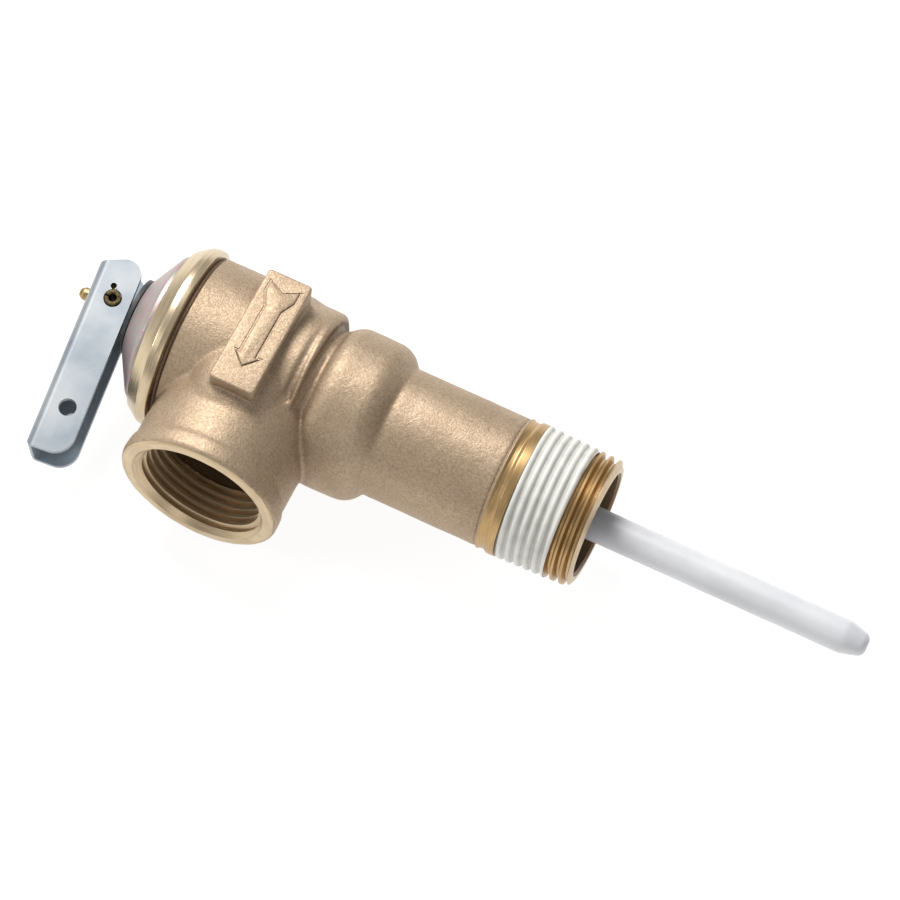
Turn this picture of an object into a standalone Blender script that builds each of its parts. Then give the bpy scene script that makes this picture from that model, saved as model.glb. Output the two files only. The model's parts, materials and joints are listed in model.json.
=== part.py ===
"""Pressure relief valve with an extended shank, a temperature probe and a hand test lever.

The valve is drawn upright, in its own frame: heights run up from the end face of the inlet thread, the probe
hangs below it, the lever sits on top and the outlet points to -Y. An empty then lays the valve on its side, so
that in the world the probe points to +X, the outlet to -Y and the flow-arrow plate faces up.
"""

import math

import bmesh
import bpy
from mathutils import Vector

MM = 0.001

# ---------------------------------------------------------------- driving dimensions

GAP = 0.2 * MM  # between pieces that touch on the real valve

# Body, outside: lengths stack up from the inlet end face
THREAD_LENGTH = 16.2 * MM
THREAD_PITCH = 1.814 * MM
THREAD_DEPTH = 1.15 * MM
THREAD_END_RADIUS = 13.0 * MM  # crests at the inlet end face
THREAD_TAPER = 1 / 32  # radius gained for each unit of length
RUNOUT_LENGTH = 3.5 * MM
SHANK_LENGTH = 22.6 * MM
SHANK_RADIUS = 13.1 * MM
BULB_LENGTH = 16.7 * MM
BULB_RADIUS = 16.6 * MM
CREASE_RADIUS = 14.4 * MM
UPPER_LENGTH = 27.2 * MM
UPPER_RADIUS = 17.3 * MM
SHOULDER_RADIUS = 16.8 * MM
RIM_LENGTH = 5.1 * MM
RIM_RADIUS = 18.4 * MM
LIP_RADIUS = 15.6 * MM  # inner edge of the rim, rolled over the bonnet
LIP_THICKNESS = 1.1 * MM

# Outlet
OUTLET_ABOVE_CREASE = 11.1 * MM
OUTLET_REACH = 29.1 * MM
OUTLET_COLLAR_RADIUS = 16.4 * MM
OUTLET_COLLAR_LENGTH = 4.6 * MM
OUTLET_NECK_RADIUS = 15.7 * MM
OUTLET_MOUTH_RADIUS = 13.5 * MM
OUTLET_THREAD_RADIUS = 13.3 * MM  # thread roots at the mouth
OUTLET_THREAD_LENGTH = 13.0 * MM
OUTLET_PORT_RADIUS = 9.0 * MM

# Flow-arrow plate
PLATE_WIDTH = 9.2 * MM
PLATE_TOP = 19.35 * MM  # distance of its face from the valve's axis
PLATE_FRONT = 14.8 * MM
PLATE_BACK = 11.2 * MM
PLATE_ABOVE_OUTLET = 0.8 * MM

# Body, inside
BORE_RADIUS = 10.3 * MM
BORE_DEPTH = 35.3 * MM
WATERWAY_RADIUS = 9.4 * MM
ORIFICE_RADIUS = 6.5 * MM
SEAT_ABOVE_CREASE = 3.5 * MM
SEAT_LIP_WIDTH = 1.5 * MM
SEAT_LIP_HEIGHT = 1.5 * MM
CHAMBER_RADIUS = 13.6 * MM
GASKET_THICKNESS = 0.6 * MM

# Bonnet
BONNET_SHEET = 1.4 * MM
BONNET_HEIGHT = 8.1 * MM  # from the underside of its flange to its flat top
BONNET_SHOULDER = 3.9 * MM  # height of the straight wall, from the same place
BONNET_TOP_RADIUS = 7.9 * MM

# Stem, lever and pin
STEM_RADIUS = 2.75 * MM
STEM_SHOULDER_ABOVE_PIN = 2.4 * MM
STEM_END_ABOVE_PIN = 7.4 * MM
STEM_TIP_RADIUS = 1.3 * MM
STEM_CLEARANCE = 0.2 * MM
WASHER_RADIUS = 7.6 * MM
WASHER_THICKNESS = 0.9 * MM
PIN_RADIUS = 1.6 * MM
PIN_PROUD = 0.25 * MM
PIN_SLOT = 0.5 * MM  # the gap left where the pin's sheet is rolled round
LEVER_SHEET = 1.2 * MM
LEVER_WIDTH = 10.6 * MM  # over both arms
LEVER_DEPTH_BELOW_PIN = 3.6 * MM
LEVER_DEPTH_ABOVE_PIN = 5.1 * MM
LEVER_BEND_RADIUS = 1.8 * MM
LEVER_REACH = 32.6 * MM  # pin to the free end
LEVER_NOSE = 8.3 * MM  # pin to the end of the cam nose
LEVER_NOSE_RADIUS = 3.2 * MM
LEVER_END_RADIUS = 4.0 * MM
LEVER_HOLE_RADIUS = 1.75 * MM
LEVER_HOLE_DISTANCE = 23.3 * MM
LEVER_NOTCH_RADIUS = 0.6 * MM  # of the small hole that keys the pin's hole
LEVER_NOTCH_DISTANCE = 2.5 * MM
LEVER_SWIVEL = math.radians(12.0)  # turn of the lever about the stem, from straight above the outlet
LEVER_DROOP = math.radians(5.0)  # the free end hangs until the arms touch the washer's edge

# Disc
DISC_RADIUS = 9.6 * MM
DISC_THICKNESS = 2.2 * MM
DISC_LIP = 0.8 * MM
HOLDER_THICKNESS = 4.0 * MM
HOLDER_BOSS_RADIUS = 4.6 * MM
HOLDER_BOSS_HEIGHT = 2.8 * MM
RETAINER_SHEET = 0.7 * MM
BUTTON_RADIUS = 2.5 * MM
CLIP_THICKNESS = 0.8 * MM
CLIP_WIDTH = 1.6 * MM

# Spring
SPRING_WIRE_RADIUS = 0.95 * MM
SPRING_RADIUS = 6.6 * MM  # middle of the wire
SPRING_TURNS = 6

# Thermostat
PROBE_RADIUS = 3.34 * MM
PROBE_LENGTH = 55.9 * MM  # below the inlet end face
PROBE_TIP_LENGTH = 4.6 * MM
PROBE_TIP_RADIUS = 1.75 * MM
COATING_THICKNESS = 0.35 * MM
TUBE_WALL = 0.55 * MM
COATING_DEPTH = 24.0 * MM  # above the inlet end face
HEAD_RADIUS = 5.2 * MM
HEAD_FLANGE_RADIUS = 6.3 * MM
HEAD_LENGTH = 12.0 * MM
TUBE_IN_HEAD = 4.0 * MM
SEAL_LENGTH = 3.0 * MM
ROD_RADIUS = 1.2 * MM
CARRIER_THICKNESS = 3.0 * MM
CARRIER_ARM_WIDTH = 2.2 * MM
CARRIER_RIM = 1.1 * MM
RING_THICKNESS = 1.0 * MM
RING_GROOVE_DEPTH = 0.7 * MM
RING_PROUD = 1.0 * MM  # how far the ring stands into the bore
RING_OPENING = 2.4 * MM

SEALANT_START = 5.3 * MM
SEALANT_LENGTH = 10.2 * MM
SEALANT_DEPTH = 0.7 * MM  # of the roots that show in the band
SEALANT_PROUD = 0.12 * MM

BODY_SIDES = 32
SMALL_SIDES = 24

# ---------------------------------------------------------------- heights that follow from them

SHANK_BOTTOM = THREAD_LENGTH + RUNOUT_LENGTH
BULB_BOTTOM = SHANK_BOTTOM + SHANK_LENGTH
CREASE = BULB_BOTTOM + BULB_LENGTH
RIM_BOTTOM = CREASE + UPPER_LENGTH
BODY_TOP = RIM_BOTTOM + RIM_LENGTH
OUTLET_HEIGHT = CREASE + OUTLET_ABOVE_CREASE
SEAT = CREASE + SEAT_ABOVE_CREASE
LIP_BOTTOM = BODY_TOP - LIP_THICKNESS
FLANGE_RADIUS = RIM_RADIUS - 2.1 * MM
FLANGE_BOTTOM = LIP_BOTTOM - GAP - BONNET_SHEET
LEDGE = FLANGE_BOTTOM - GASKET_THICKNESS - 2 * GAP
BONNET_WALL_RADIUS = LIP_RADIUS - GAP - 0.4 * MM
BONNET_TOP = FLANGE_BOTTOM + BONNET_HEIGHT
WASHER_BOTTOM = BONNET_TOP + GAP
WASHER_TOP = WASHER_BOTTOM + WASHER_THICKNESS
LEVER_CONTACT = math.sqrt(WASHER_RADIUS**2 - (LEVER_WIDTH / 2 - LEVER_SHEET) ** 2)
PIN_HEIGHT = (
    WASHER_TOP
    + GAP
    + LEVER_DEPTH_BELOW_PIN / math.cos(LEVER_DROOP)
    + LEVER_CONTACT * math.tan(LEVER_DROOP)
)
STEM_TOP = PIN_HEIGHT + STEM_END_ABOVE_PIN
STEM_BORE = STEM_RADIUS + STEM_CLEARANCE
DISC_BOTTOM = SEAT + GAP
DISC_TOP = DISC_BOTTOM + DISC_THICKNESS
HOLDER_BOTTOM = DISC_TOP + GAP
HOLDER_TOP = HOLDER_BOTTOM + HOLDER_THICKNESS
POCKET_TOP = HOLDER_TOP - 1.2 * MM
CLIP_TOP = POCKET_TOP - GAP
CLIP_BOTTOM = CLIP_TOP - CLIP_THICKNESS
STEM_BOTTOM = HOLDER_BOTTOM + GAP
SPRING_BOTTOM = HOLDER_TOP + GAP
BUSH_FLANGE_TOP = BONNET_TOP - BONNET_SHEET - GAP
BUSH_FLANGE_BOTTOM = BUSH_FLANGE_TOP - 1.4 * MM
BUSH_RADIUS = STEM_BORE + 1.1 * MM
BUSH_FLANGE_RADIUS = BUSH_RADIUS + 2.0 * MM
SPRING_SEAT_TOP = BUSH_FLANGE_BOTTOM - GAP
SPRING_SEAT_BOTTOM = SPRING_SEAT_TOP - 0.8 * MM
SPRING_TOP = SPRING_SEAT_BOTTOM - GAP
CARRIER_BOTTOM = BORE_DEPTH - GAP - CARRIER_THICKNESS
HEAD_FLANGE_TOP = CARRIER_BOTTOM - GAP
HEAD_BOTTOM = COATING_DEPTH + 3.0 * MM
TUBE_TOP = HEAD_BOTTOM + TUBE_IN_HEAD
TUBE_RADIUS = PROBE_RADIUS - COATING_THICKNESS - GAP
TUBE_BORE = TUBE_RADIUS - TUBE_WALL
WAX_RADIUS = TUBE_BORE - GAP
BUTTON_BOTTOM = SEAT - GAP
ROD_TOP = BUTTON_BOTTOM - GAP
ROD_BOTTOM = TUBE_TOP + GAP


# ---------------------------------------------------------------- collections, materials and frames

for old in list(bpy.data.objects):
    bpy.data.objects.remove(old, do_unlink=True)

valve = bpy.data.collections.new("pressure_relief_valve")
cutters = bpy.data.collections.new("cutters")
bpy.context.scene.collection.children.link(valve)
bpy.context.scene.collection.children.link(cutters)


def material(name, colour, metallic, roughness):
    made = bpy.data.materials.new(name)
    made.use_nodes = True
    shader = made.node_tree.nodes["Principled BSDF"]
    shader.inputs["Base Color"].default_value = (*colour, 1.0)
    shader.inputs["Metallic"].default_value = metallic
    shader.inputs["Roughness"].default_value = roughness
    made.diffuse_color = (*colour, 1.0)
    return made


CAST_BRONZE = material("cast_bronze", (0.55, 0.38, 0.22), 1.0, 0.45)
BRASS = material("machined_brass", (0.72, 0.52, 0.25), 1.0, 0.25)
ZINC_STEEL = material("zinc_plated_steel", (0.48, 0.53, 0.58), 1.0, 0.4)
YELLOW_ZINC = material("chromated_steel", (0.46, 0.37, 0.36), 1.0, 0.35)
SPRING_STEEL = material("spring_steel", (0.45, 0.45, 0.46), 1.0, 0.3)
COPPER = material("copper", (0.72, 0.36, 0.22), 1.0, 0.35)
DARK_WASHER = material("dark_washer", (0.04, 0.05, 0.05), 0.0, 0.5)
SEALANT = material("thread_sealant", (0.80, 0.80, 0.77), 0.0, 0.55)
COATING = material("probe_coating", (0.75, 0.75, 0.77), 0.0, 0.35)
SILICONE = material("silicone", (0.45, 0.12, 0.08), 0.0, 0.6)
FIBRE = material("gasket_fibre", (0.12, 0.20, 0.14), 0.0, 0.8)
RUBBER = material("rubber", (0.03, 0.03, 0.03), 0.0, 0.7)
WAX = material("wax", (0.65, 0.50, 0.30), 0.0, 0.5)


def empty(name, parent=None, location=(0, 0, 0), rotation=(0, 0, 0)):
    made = bpy.data.objects.new(name, None)
    made.parent = parent
    made.location = location
    made.rotation_euler = rotation
    valve.objects.link(made)
    return made


upright = empty("upright_frame", rotation=(0, -math.pi / 2, 0))
stem_frame = empty("stem_frame", upright, rotation=(0, 0, -LEVER_SWIVEL))
pin_frame = empty("pin_frame", stem_frame, location=(0, 0, PIN_HEIGHT))
lever_frame = empty("lever_frame", pin_frame, rotation=(LEVER_DROOP, 0, 0))
outlet_frame = empty("outlet_frame", upright, location=(0, 0, OUTLET_HEIGHT), rotation=(math.pi / 2, 0, 0))


# ---------------------------------------------------------------- modelling helpers


def place(name, mesh, finish=None, parent=upright, location=(0, 0, 0), rotation=(0, 0, 0)):
    """An object in the valve's collection, or, without a finish, a cutter."""
    made = bpy.data.objects.new(name, mesh)
    made.parent = parent
    made.location = location
    made.rotation_euler = rotation
    if finish is None:
        made.hide_render = True
        made.display_type = "WIRE"
        cutters.objects.link(made)
    else:
        mesh.materials.append(finish)
        valve.objects.link(made)
    return made


def turned(name, outline, finish=None, ring=False, sides=SMALL_SIDES, **where):
    """A turned shape. The outline is a list of (radius, height) that runs down the outer side."""
    mesh = bpy.data.meshes.new(name)
    edges = [(i, i + 1) for i in range(len(outline) - 1)]
    if ring:
        edges.append((len(outline) - 1, 0))
    mesh.from_pydata([(radius, 0, height) for radius, height in outline], edges, [])
    made = place(name, mesh, finish, **where)
    screw = made.modifiers.new("turn", "SCREW")
    screw.steps = screw.render_steps = sides
    screw.use_merge_vertices = True
    screw.merge_threshold = 0.00001
    screw.use_smooth_shade = True
    return made


def tube(name, outer, inner, bottom, top, finish=None, **where):
    outline = [(outer, top), (outer, bottom), (inner, bottom), (inner, top)]
    return turned(name, outline, finish, ring=True, **where)


def rod(name, radius, bottom, top, finish=None, **where):
    return turned(name, [(0, top), (radius, top), (radius, bottom), (0, bottom)], finish, **where)


def box(name, low, high, finish=None, **where):
    mesh = bpy.data.meshes.new(name)
    cube = bmesh.new()
    bmesh.ops.create_cube(cube, size=1.0)
    size = Vector(high) - Vector(low)
    middle = (Vector(high) + Vector(low)) / 2
    bmesh.ops.scale(cube, verts=cube.verts, vec=size)
    bmesh.ops.translate(cube, verts=cube.verts, vec=middle)
    cube.to_mesh(mesh)
    cube.free()
    return place(name, mesh, finish, **where)


def plate(name, outline, thickness, finish=None, **where):
    """A flat outline in the local XY plane, given its thickness evenly to both sides."""
    curve = bpy.data.curves.new(name, "CURVE")
    curve.dimensions = "2D"
    curve.fill_mode = "BOTH"
    curve.extrude = thickness / 2
    spline = curve.splines.new("POLY")
    spline.points.add(len(outline) - 1)
    for point, (x, y) in zip(spline.points, outline):
        point.co = (x, y, 0, 1)
    spline.use_cyclic_u = True
    return place(name, welded_mesh(name, curve), finish, **where)


def welded_mesh(name, curve):
    drawn = bpy.data.objects.new(name, curve)
    bpy.context.scene.collection.objects.link(drawn)
    graph = bpy.context.evaluated_depsgraph_get()
    mesh = bpy.data.meshes.new_from_object(drawn.evaluated_get(graph))
    bpy.data.objects.remove(drawn)
    weld = bmesh.new()
    weld.from_mesh(mesh)
    bmesh.ops.remove_doubles(weld, verts=weld.verts, dist=0.000001)
    bmesh.ops.recalc_face_normals(weld, faces=weld.faces)
    weld.to_mesh(mesh)
    weld.free()
    return mesh


def arc(centre, radius, start, end, steps):
    """Points on an arc, both ends included; the angles are in degrees, 0 along the first axis."""
    points = []
    for step in range(steps + 1):
        angle = math.radians(start + (end - start) * step / steps)
        points.append((centre[0] + radius * math.cos(angle), centre[1] + radius * math.sin(angle)))
    return points


def combine(piece, tool, operation):
    modifier = piece.modifiers.new(tool.name, "BOOLEAN")
    modifier.operation = operation
    modifier.object = tool


def cut(piece, *tools):
    for tool in tools:
        combine(piece, tool, "DIFFERENCE")


def join(piece, *tools):
    for tool in tools:
        combine(piece, tool, "UNION")


# ---------------------------------------------------------------- body


def male_thread():
    """The tapered inlet thread, from its run-out down to the end face. Under the sealant it is turned down to
    its roots, because the band carries the crests there."""
    points = []
    for index in reversed(range(int(THREAD_LENGTH / THREAD_PITCH - 0.25))):
        low = (index + 0.5) * THREAD_PITCH
        if SEALANT_START - GAP < low + 0.75 * THREAD_PITCH and low < SEALANT_START + SEALANT_LENGTH + GAP:
            continue
        for share, depth in ((0.75, THREAD_DEPTH), (0.5, 0), (0.25, 0), (0, THREAD_DEPTH)):
            height = low + share * THREAD_PITCH
            points.append((THREAD_END_RADIUS + height * THREAD_TAPER - depth, height))
    runout = THREAD_END_RADIUS + THREAD_LENGTH * THREAD_TAPER
    root = (runout - THREAD_DEPTH, THREAD_LENGTH - 0.3 * MM)
    return [(runout, SHANK_BOTTOM - 0.4 * MM), (runout, THREAD_LENGTH + 0.2 * MM), root] + points


def body_outline():
    rim = [(0, BODY_TOP), (LIP_RADIUS + 0.8 * MM, BODY_TOP)]
    rim += arc((RIM_RADIUS - 2.6 * MM, RIM_BOTTOM + 1.9 * MM), 2.6 * MM, 50, 0, 3)
    rim += [(RIM_RADIUS - 0.2 * MM, RIM_BOTTOM + 0.8 * MM), (UPPER_RADIUS, RIM_BOTTOM)]
    shoulder = [(UPPER_RADIUS, CREASE + 8.4 * MM), (SHOULDER_RADIUS, CREASE + 6.2 * MM)]
    shoulder += arc((SHOULDER_RADIUS - 2.6 * MM, CREASE + 3.4 * MM), 2.6 * MM, 0, -70, 3)
    back = arc((BULB_RADIUS - 4.6 * MM, CREASE - 5.0 * MM), 4.6 * MM, 55, 0, 3)
    front = arc((BULB_RADIUS - 5.4 * MM, BULB_BOTTOM + 5.9 * MM), 5.4 * MM, 0, -65, 4)
    shank = [(SHANK_RADIUS, BULB_BOTTOM), (SHANK_RADIUS, SHANK_BOTTOM)]
    chamfer = [(THREAD_END_RADIUS - THREAD_DEPTH, 0.4 * MM), (THREAD_END_RADIUS - THREAD_DEPTH, 0), (0, 0)]
    return rim + shoulder + [(CREASE_RADIUS, CREASE)] + back + front + shank + male_thread() + chamfer


def bore_outline():
    over = 2 * MM
    deck = SEAT - SEAT_LIP_HEIGHT
    lip_outer = ORIFICE_RADIUS + SEAT_LIP_WIDTH
    ring_top = CARRIER_BOTTOM - GAP
    ring_bottom = ring_top - RING_THICKNESS - 2 * GAP
    groove = BORE_RADIUS + RING_GROOVE_DEPTH
    return [
        (0, BODY_TOP + over),
        (LIP_RADIUS, BODY_TOP + over),
        (LIP_RADIUS, LIP_BOTTOM),
        (FLANGE_RADIUS, LIP_BOTTOM),
        (FLANGE_RADIUS, LEDGE),
        (CHAMBER_RADIUS, LEDGE),
        (CHAMBER_RADIUS, deck + 2.5 * MM),
        (CHAMBER_RADIUS - 1.0 * MM, deck),
        (lip_outer + 0.4 * MM, deck),
        (lip_outer, SEAT),
        (ORIFICE_RADIUS + 0.3 * MM, SEAT),
        (ORIFICE_RADIUS, SEAT - 0.3 * MM),
        (ORIFICE_RADIUS, CREASE - 3.0 * MM),
        (WATERWAY_RADIUS, CREASE - 5.0 * MM),
        (WATERWAY_RADIUS, BORE_DEPTH),
        (BORE_RADIUS, BORE_DEPTH),
        (BORE_RADIUS, ring_top),
        (groove, ring_top),
        (groove, ring_bottom),
        (BORE_RADIUS, ring_bottom),
        (BORE_RADIUS, -over),
        (0, -over),
    ]


def outlet_outline():
    """The outlet boss, from its face in to the valve's axis; heights are distances from that axis."""
    edge = 1.2 * MM
    neck = OUTLET_REACH - OUTLET_COLLAR_LENGTH
    return [
        (0, OUTLET_REACH),
        (OUTLET_COLLAR_RADIUS - edge, OUTLET_REACH),
        (OUTLET_COLLAR_RADIUS - edge * 0.3, OUTLET_REACH - edge * 0.3),
        (OUTLET_COLLAR_RADIUS, OUTLET_REACH - edge),
        (OUTLET_COLLAR_RADIUS - 0.2 * MM, neck + edge),
        (OUTLET_NECK_RADIUS, neck),
        (OUTLET_NECK_RADIUS, 0),
        (0, 0),
    ]


def outlet_bore_outline():
    """The female thread, its countersunk mouth and the port into the chamber."""
    bottom = OUTLET_REACH - OUTLET_THREAD_LENGTH
    mouth = 1.2 * MM
    points = [(0, OUTLET_REACH + mouth), (OUTLET_MOUTH_RADIUS, OUTLET_REACH + mouth)]
    points += [(OUTLET_MOUTH_RADIUS, OUTLET_REACH - mouth)]
    count = int((OUTLET_THREAD_LENGTH - mouth) / THREAD_PITCH)
    for index in range(count):
        start = OUTLET_REACH - mouth - index * THREAD_PITCH
        for share, depth in ((0.2, THREAD_DEPTH), (0.4, THREAD_DEPTH), (0.6, 0), (0.8, 0)):
            height = start - share * THREAD_PITCH
            points.append((OUTLET_THREAD_RADIUS - (OUTLET_REACH - height) * THREAD_TAPER - depth, height))
    relief = OUTLET_THREAD_RADIUS - THREAD_DEPTH - OUTLET_THREAD_LENGTH * THREAD_TAPER
    return points + [(relief, bottom), (OUTLET_PORT_RADIUS, bottom - 0.8 * MM), (OUTLET_PORT_RADIUS, 0), (0, 0)]


def valve_body():
    body = turned("valve_body", body_outline(), CAST_BRONZE, sides=BODY_SIDES)
    boss = turned("outlet_boss", outlet_outline(), sides=BODY_SIDES, parent=outlet_frame)
    middle = OUTLET_HEIGHT + PLATE_ABOVE_OUTLET
    pad = box(
        "arrow_pad",
        (PLATE_TOP - 9 * MM, -PLATE_FRONT, middle - PLATE_WIDTH / 2),
        (PLATE_TOP, PLATE_BACK, middle + PLATE_WIDTH / 2),
    )
    join(body, boss, pad)
    bore = turned("main_bore", bore_outline(), sides=BODY_SIDES)
    outlet_bore = turned("outlet_bore", outlet_bore_outline(), sides=BODY_SIDES, parent=outlet_frame)
    cut(body, bore, outlet_bore)


def thread_sealant():
    """The dried band on the inlet thread, with the crests that it covers."""
    outer = []
    count = 2 * round(SEALANT_LENGTH / THREAD_PITCH)
    for index in reversed(range(count + 1)):
        height = SEALANT_START + index * SEALANT_LENGTH / count
        crest = THREAD_END_RADIUS + height * THREAD_TAPER + SEALANT_PROUD
        outer.append((crest - (index % 2 == 0) * SEALANT_DEPTH, height))
    inner = [
        (THREAD_END_RADIUS + height * THREAD_TAPER - THREAD_DEPTH + GAP, height)
        for height in (SEALANT_START, SEALANT_START + SEALANT_LENGTH)
    ]
    turned("thread_sealant", outer + inner, SEALANT, ring=True, sides=BODY_SIDES)


# ---------------------------------------------------------------- bonnet and what it holds


def bonnet():
    shoulder = FLANGE_BOTTOM + BONNET_SHOULDER
    hole = BUSH_RADIUS + GAP
    slope = (BONNET_WALL_RADIUS - BONNET_TOP_RADIUS) / (BONNET_TOP - shoulder)
    under = BONNET_TOP_RADIUS - 0.3 * MM
    sheet = BONNET_SHEET
    turned(
        "bonnet",
        [
            (hole, BONNET_TOP),
            (BONNET_TOP_RADIUS - 0.6 * MM, BONNET_TOP),
            (BONNET_TOP_RADIUS, BONNET_TOP - 0.2 * MM),
            (BONNET_WALL_RADIUS - 0.3 * MM * slope, shoulder + 0.3 * MM),
            (BONNET_WALL_RADIUS, shoulder - 0.3 * MM),
            (BONNET_WALL_RADIUS, FLANGE_BOTTOM + sheet),
            (FLANGE_RADIUS - GAP, FLANGE_BOTTOM + sheet),
            (FLANGE_RADIUS - GAP, FLANGE_BOTTOM),
            (BONNET_WALL_RADIUS - sheet, FLANGE_BOTTOM),
            (BONNET_WALL_RADIUS - sheet, shoulder - 1.0 * MM),
            (under, BONNET_TOP - sheet),
            (hole, BONNET_TOP - sheet),
        ],
        YELLOW_ZINC,
        ring=True,
        sides=BODY_SIDES,
    )
    bottom = LEDGE + GAP
    inner = CHAMBER_RADIUS + GAP
    tube("bonnet_gasket", FLANGE_RADIUS - GAP, inner, bottom, bottom + GASKET_THICKNESS, FIBRE)


def stem_bushing():
    turned(
        "stem_bushing",
        [
            (BUSH_RADIUS, BONNET_TOP),
            (BUSH_RADIUS, BUSH_FLANGE_TOP),
            (BUSH_FLANGE_RADIUS, BUSH_FLANGE_TOP),
            (BUSH_FLANGE_RADIUS, BUSH_FLANGE_BOTTOM),
            (STEM_BORE, BUSH_FLANGE_BOTTOM),
            (STEM_BORE, BONNET_TOP),
        ],
        BRASS,
        ring=True,
    )


def lever_washer():
    tube("lever_washer", WASHER_RADIUS, STEM_BORE, WASHER_BOTTOM, WASHER_TOP, DARK_WASHER, sides=BODY_SIDES)


def spring():
    """The main spring: a helix whose two end turns lie flat."""
    points = []
    each = 16
    low = SPRING_BOTTOM + SPRING_WIRE_RADIUS
    high = SPRING_TOP - SPRING_WIRE_RADIUS
    pitch_end = 2 * SPRING_WIRE_RADIUS + GAP
    count = SPRING_TURNS * each
    for index in range(count + 1):
        turn = index / each
        inner = min(max(turn - 1, 0), SPRING_TURNS - 2) / (SPRING_TURNS - 2)
        ends = min(turn, 1) + max(turn - SPRING_TURNS + 1, 0)
        height = low + ends * pitch_end + inner * (high - low - 2 * pitch_end)
        angle = turn * 2 * math.pi
        points.append((SPRING_RADIUS * math.cos(angle), SPRING_RADIUS * math.sin(angle), height))
    curve = bpy.data.curves.new("spring", "CURVE")
    curve.dimensions = "3D"
    curve.bevel_depth = SPRING_WIRE_RADIUS
    curve.bevel_resolution = 1
    curve.use_fill_caps = True
    spline = curve.splines.new("POLY")
    spline.points.add(len(points) - 1)
    for point, place_at in zip(spline.points, points):
        point.co = (*place_at, 1)
    place("spring", welded_mesh("spring", curve), SPRING_STEEL)

    lip = SPRING_RADIUS - SPRING_WIRE_RADIUS - 0.3 * MM
    turned(
        "upper_spring_seat",
        [
            (SPRING_RADIUS + SPRING_WIRE_RADIUS + 0.5 * MM, SPRING_SEAT_TOP),
            (SPRING_RADIUS + SPRING_WIRE_RADIUS + 0.5 * MM, SPRING_SEAT_BOTTOM),
            (lip, SPRING_SEAT_BOTTOM),
            (lip - 0.2 * MM, SPRING_SEAT_BOTTOM - 1.5 * MM),
            (lip - 1.0 * MM, SPRING_SEAT_BOTTOM - 1.5 * MM),
            (STEM_BORE + 0.3 * MM, SPRING_SEAT_TOP - 1.0 * MM),
            (STEM_BORE + 0.3 * MM, SPRING_SEAT_TOP),
        ],
        ZINC_STEEL,
        ring=True,
    )


# ---------------------------------------------------------------- disc


def disc():
    hole = BUTTON_RADIUS + GAP
    flange = DISC_BOTTOM + 1.2 * MM
    face = DISC_RADIUS - DISC_LIP
    turned(
        "seat_disc",
        [
            (DISC_RADIUS, DISC_TOP),
            (DISC_RADIUS, flange),
            (face, flange),
            (face, DISC_BOTTOM),
            (hole, DISC_BOTTOM),
            (hole, DISC_TOP),
        ],
        SILICONE,
        ring=True,
    )
    rod("thrust_button", BUTTON_RADIUS, BUTTON_BOTTOM, DISC_TOP, BRASS)

    pocket = STEM_RADIUS + CLIP_WIDTH
    turned(
        "disc_holder",
        [
            (HOLDER_BOSS_RADIUS, HOLDER_TOP + HOLDER_BOSS_HEIGHT),
            (HOLDER_BOSS_RADIUS, HOLDER_TOP),
            (DISC_RADIUS, HOLDER_TOP),
            (DISC_RADIUS, HOLDER_BOTTOM),
            (pocket, HOLDER_BOTTOM),
            (pocket, POCKET_TOP),
            (STEM_BORE, POCKET_TOP),
            (STEM_BORE, HOLDER_TOP + HOLDER_BOSS_HEIGHT),
        ],
        BRASS,
        ring=True,
    )

    inner = DISC_RADIUS + GAP
    lip_top = flange - GAP
    turned(
        "disc_retainer",
        [
            (inner + RETAINER_SHEET, HOLDER_TOP - 0.8 * MM),
            (inner + RETAINER_SHEET, lip_top - RETAINER_SHEET),
            (face + GAP, lip_top - RETAINER_SHEET),
            (face + GAP, lip_top),
            (inner, lip_top),
            (inner, HOLDER_TOP - 0.8 * MM),
        ],
        SPRING_STEEL,
        ring=True,
    )


# ---------------------------------------------------------------- stem, clip, pin and lever


def stem():
    groove = STEM_RADIUS - 0.9 * MM
    shoulder = PIN_HEIGHT + STEM_SHOULDER_ABOVE_PIN
    round_end = 1.1 * MM
    tip = [(0, STEM_TOP)] + arc((STEM_TIP_RADIUS - round_end, STEM_TOP - round_end), round_end, 80, 0, 3)
    outline = tip + [
        (STEM_TIP_RADIUS, shoulder + 0.4 * MM),
        (STEM_RADIUS - 0.5 * MM, shoulder),
        (STEM_RADIUS, shoulder - 0.5 * MM),
        (STEM_RADIUS, CLIP_TOP + GAP),
        (groove, CLIP_TOP + GAP),
        (groove, CLIP_BOTTOM - GAP),
        (STEM_RADIUS, CLIP_BOTTOM - GAP),
        (STEM_RADIUS, STEM_BOTTOM + 0.3 * MM),
        (STEM_RADIUS - 0.3 * MM, STEM_BOTTOM),
        (0, STEM_BOTTOM),
    ]
    spindle = turned("stem", outline, BRASS, parent=stem_frame)
    across = {"parent": pin_frame, "rotation": (0, math.pi / 2, 0)}
    cut(spindle, rod("stem_hole", PIN_RADIUS + GAP, -2 * STEM_RADIUS, 2 * STEM_RADIUS, **across))

    outer = STEM_RADIUS + CLIP_WIDTH - GAP
    clip = tube("stem_clip", outer, groove + GAP, CLIP_BOTTOM, CLIP_TOP, SPRING_STEEL, parent=stem_frame)
    low = (0, -0.8 * groove, CLIP_BOTTOM - MM)
    high = (2 * outer, 0.8 * groove, CLIP_TOP + MM)
    cut(clip, box("clip_opening", low, high, parent=stem_frame))


def lever_pin():
    half = LEVER_WIDTH / 2 + PIN_PROUD
    across = {"parent": pin_frame, "rotation": (0, math.pi / 2, 0)}
    pin = tube("lever_pin", PIN_RADIUS, PIN_RADIUS / 2, -half, half, BRASS, **across)
    low = (-2 * half, -PIN_SLOT / 2, 0)
    high = (2 * half, PIN_SLOT / 2, 2 * PIN_RADIUS)
    cut(pin, box("pin_slot", low, high, parent=pin_frame))


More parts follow.
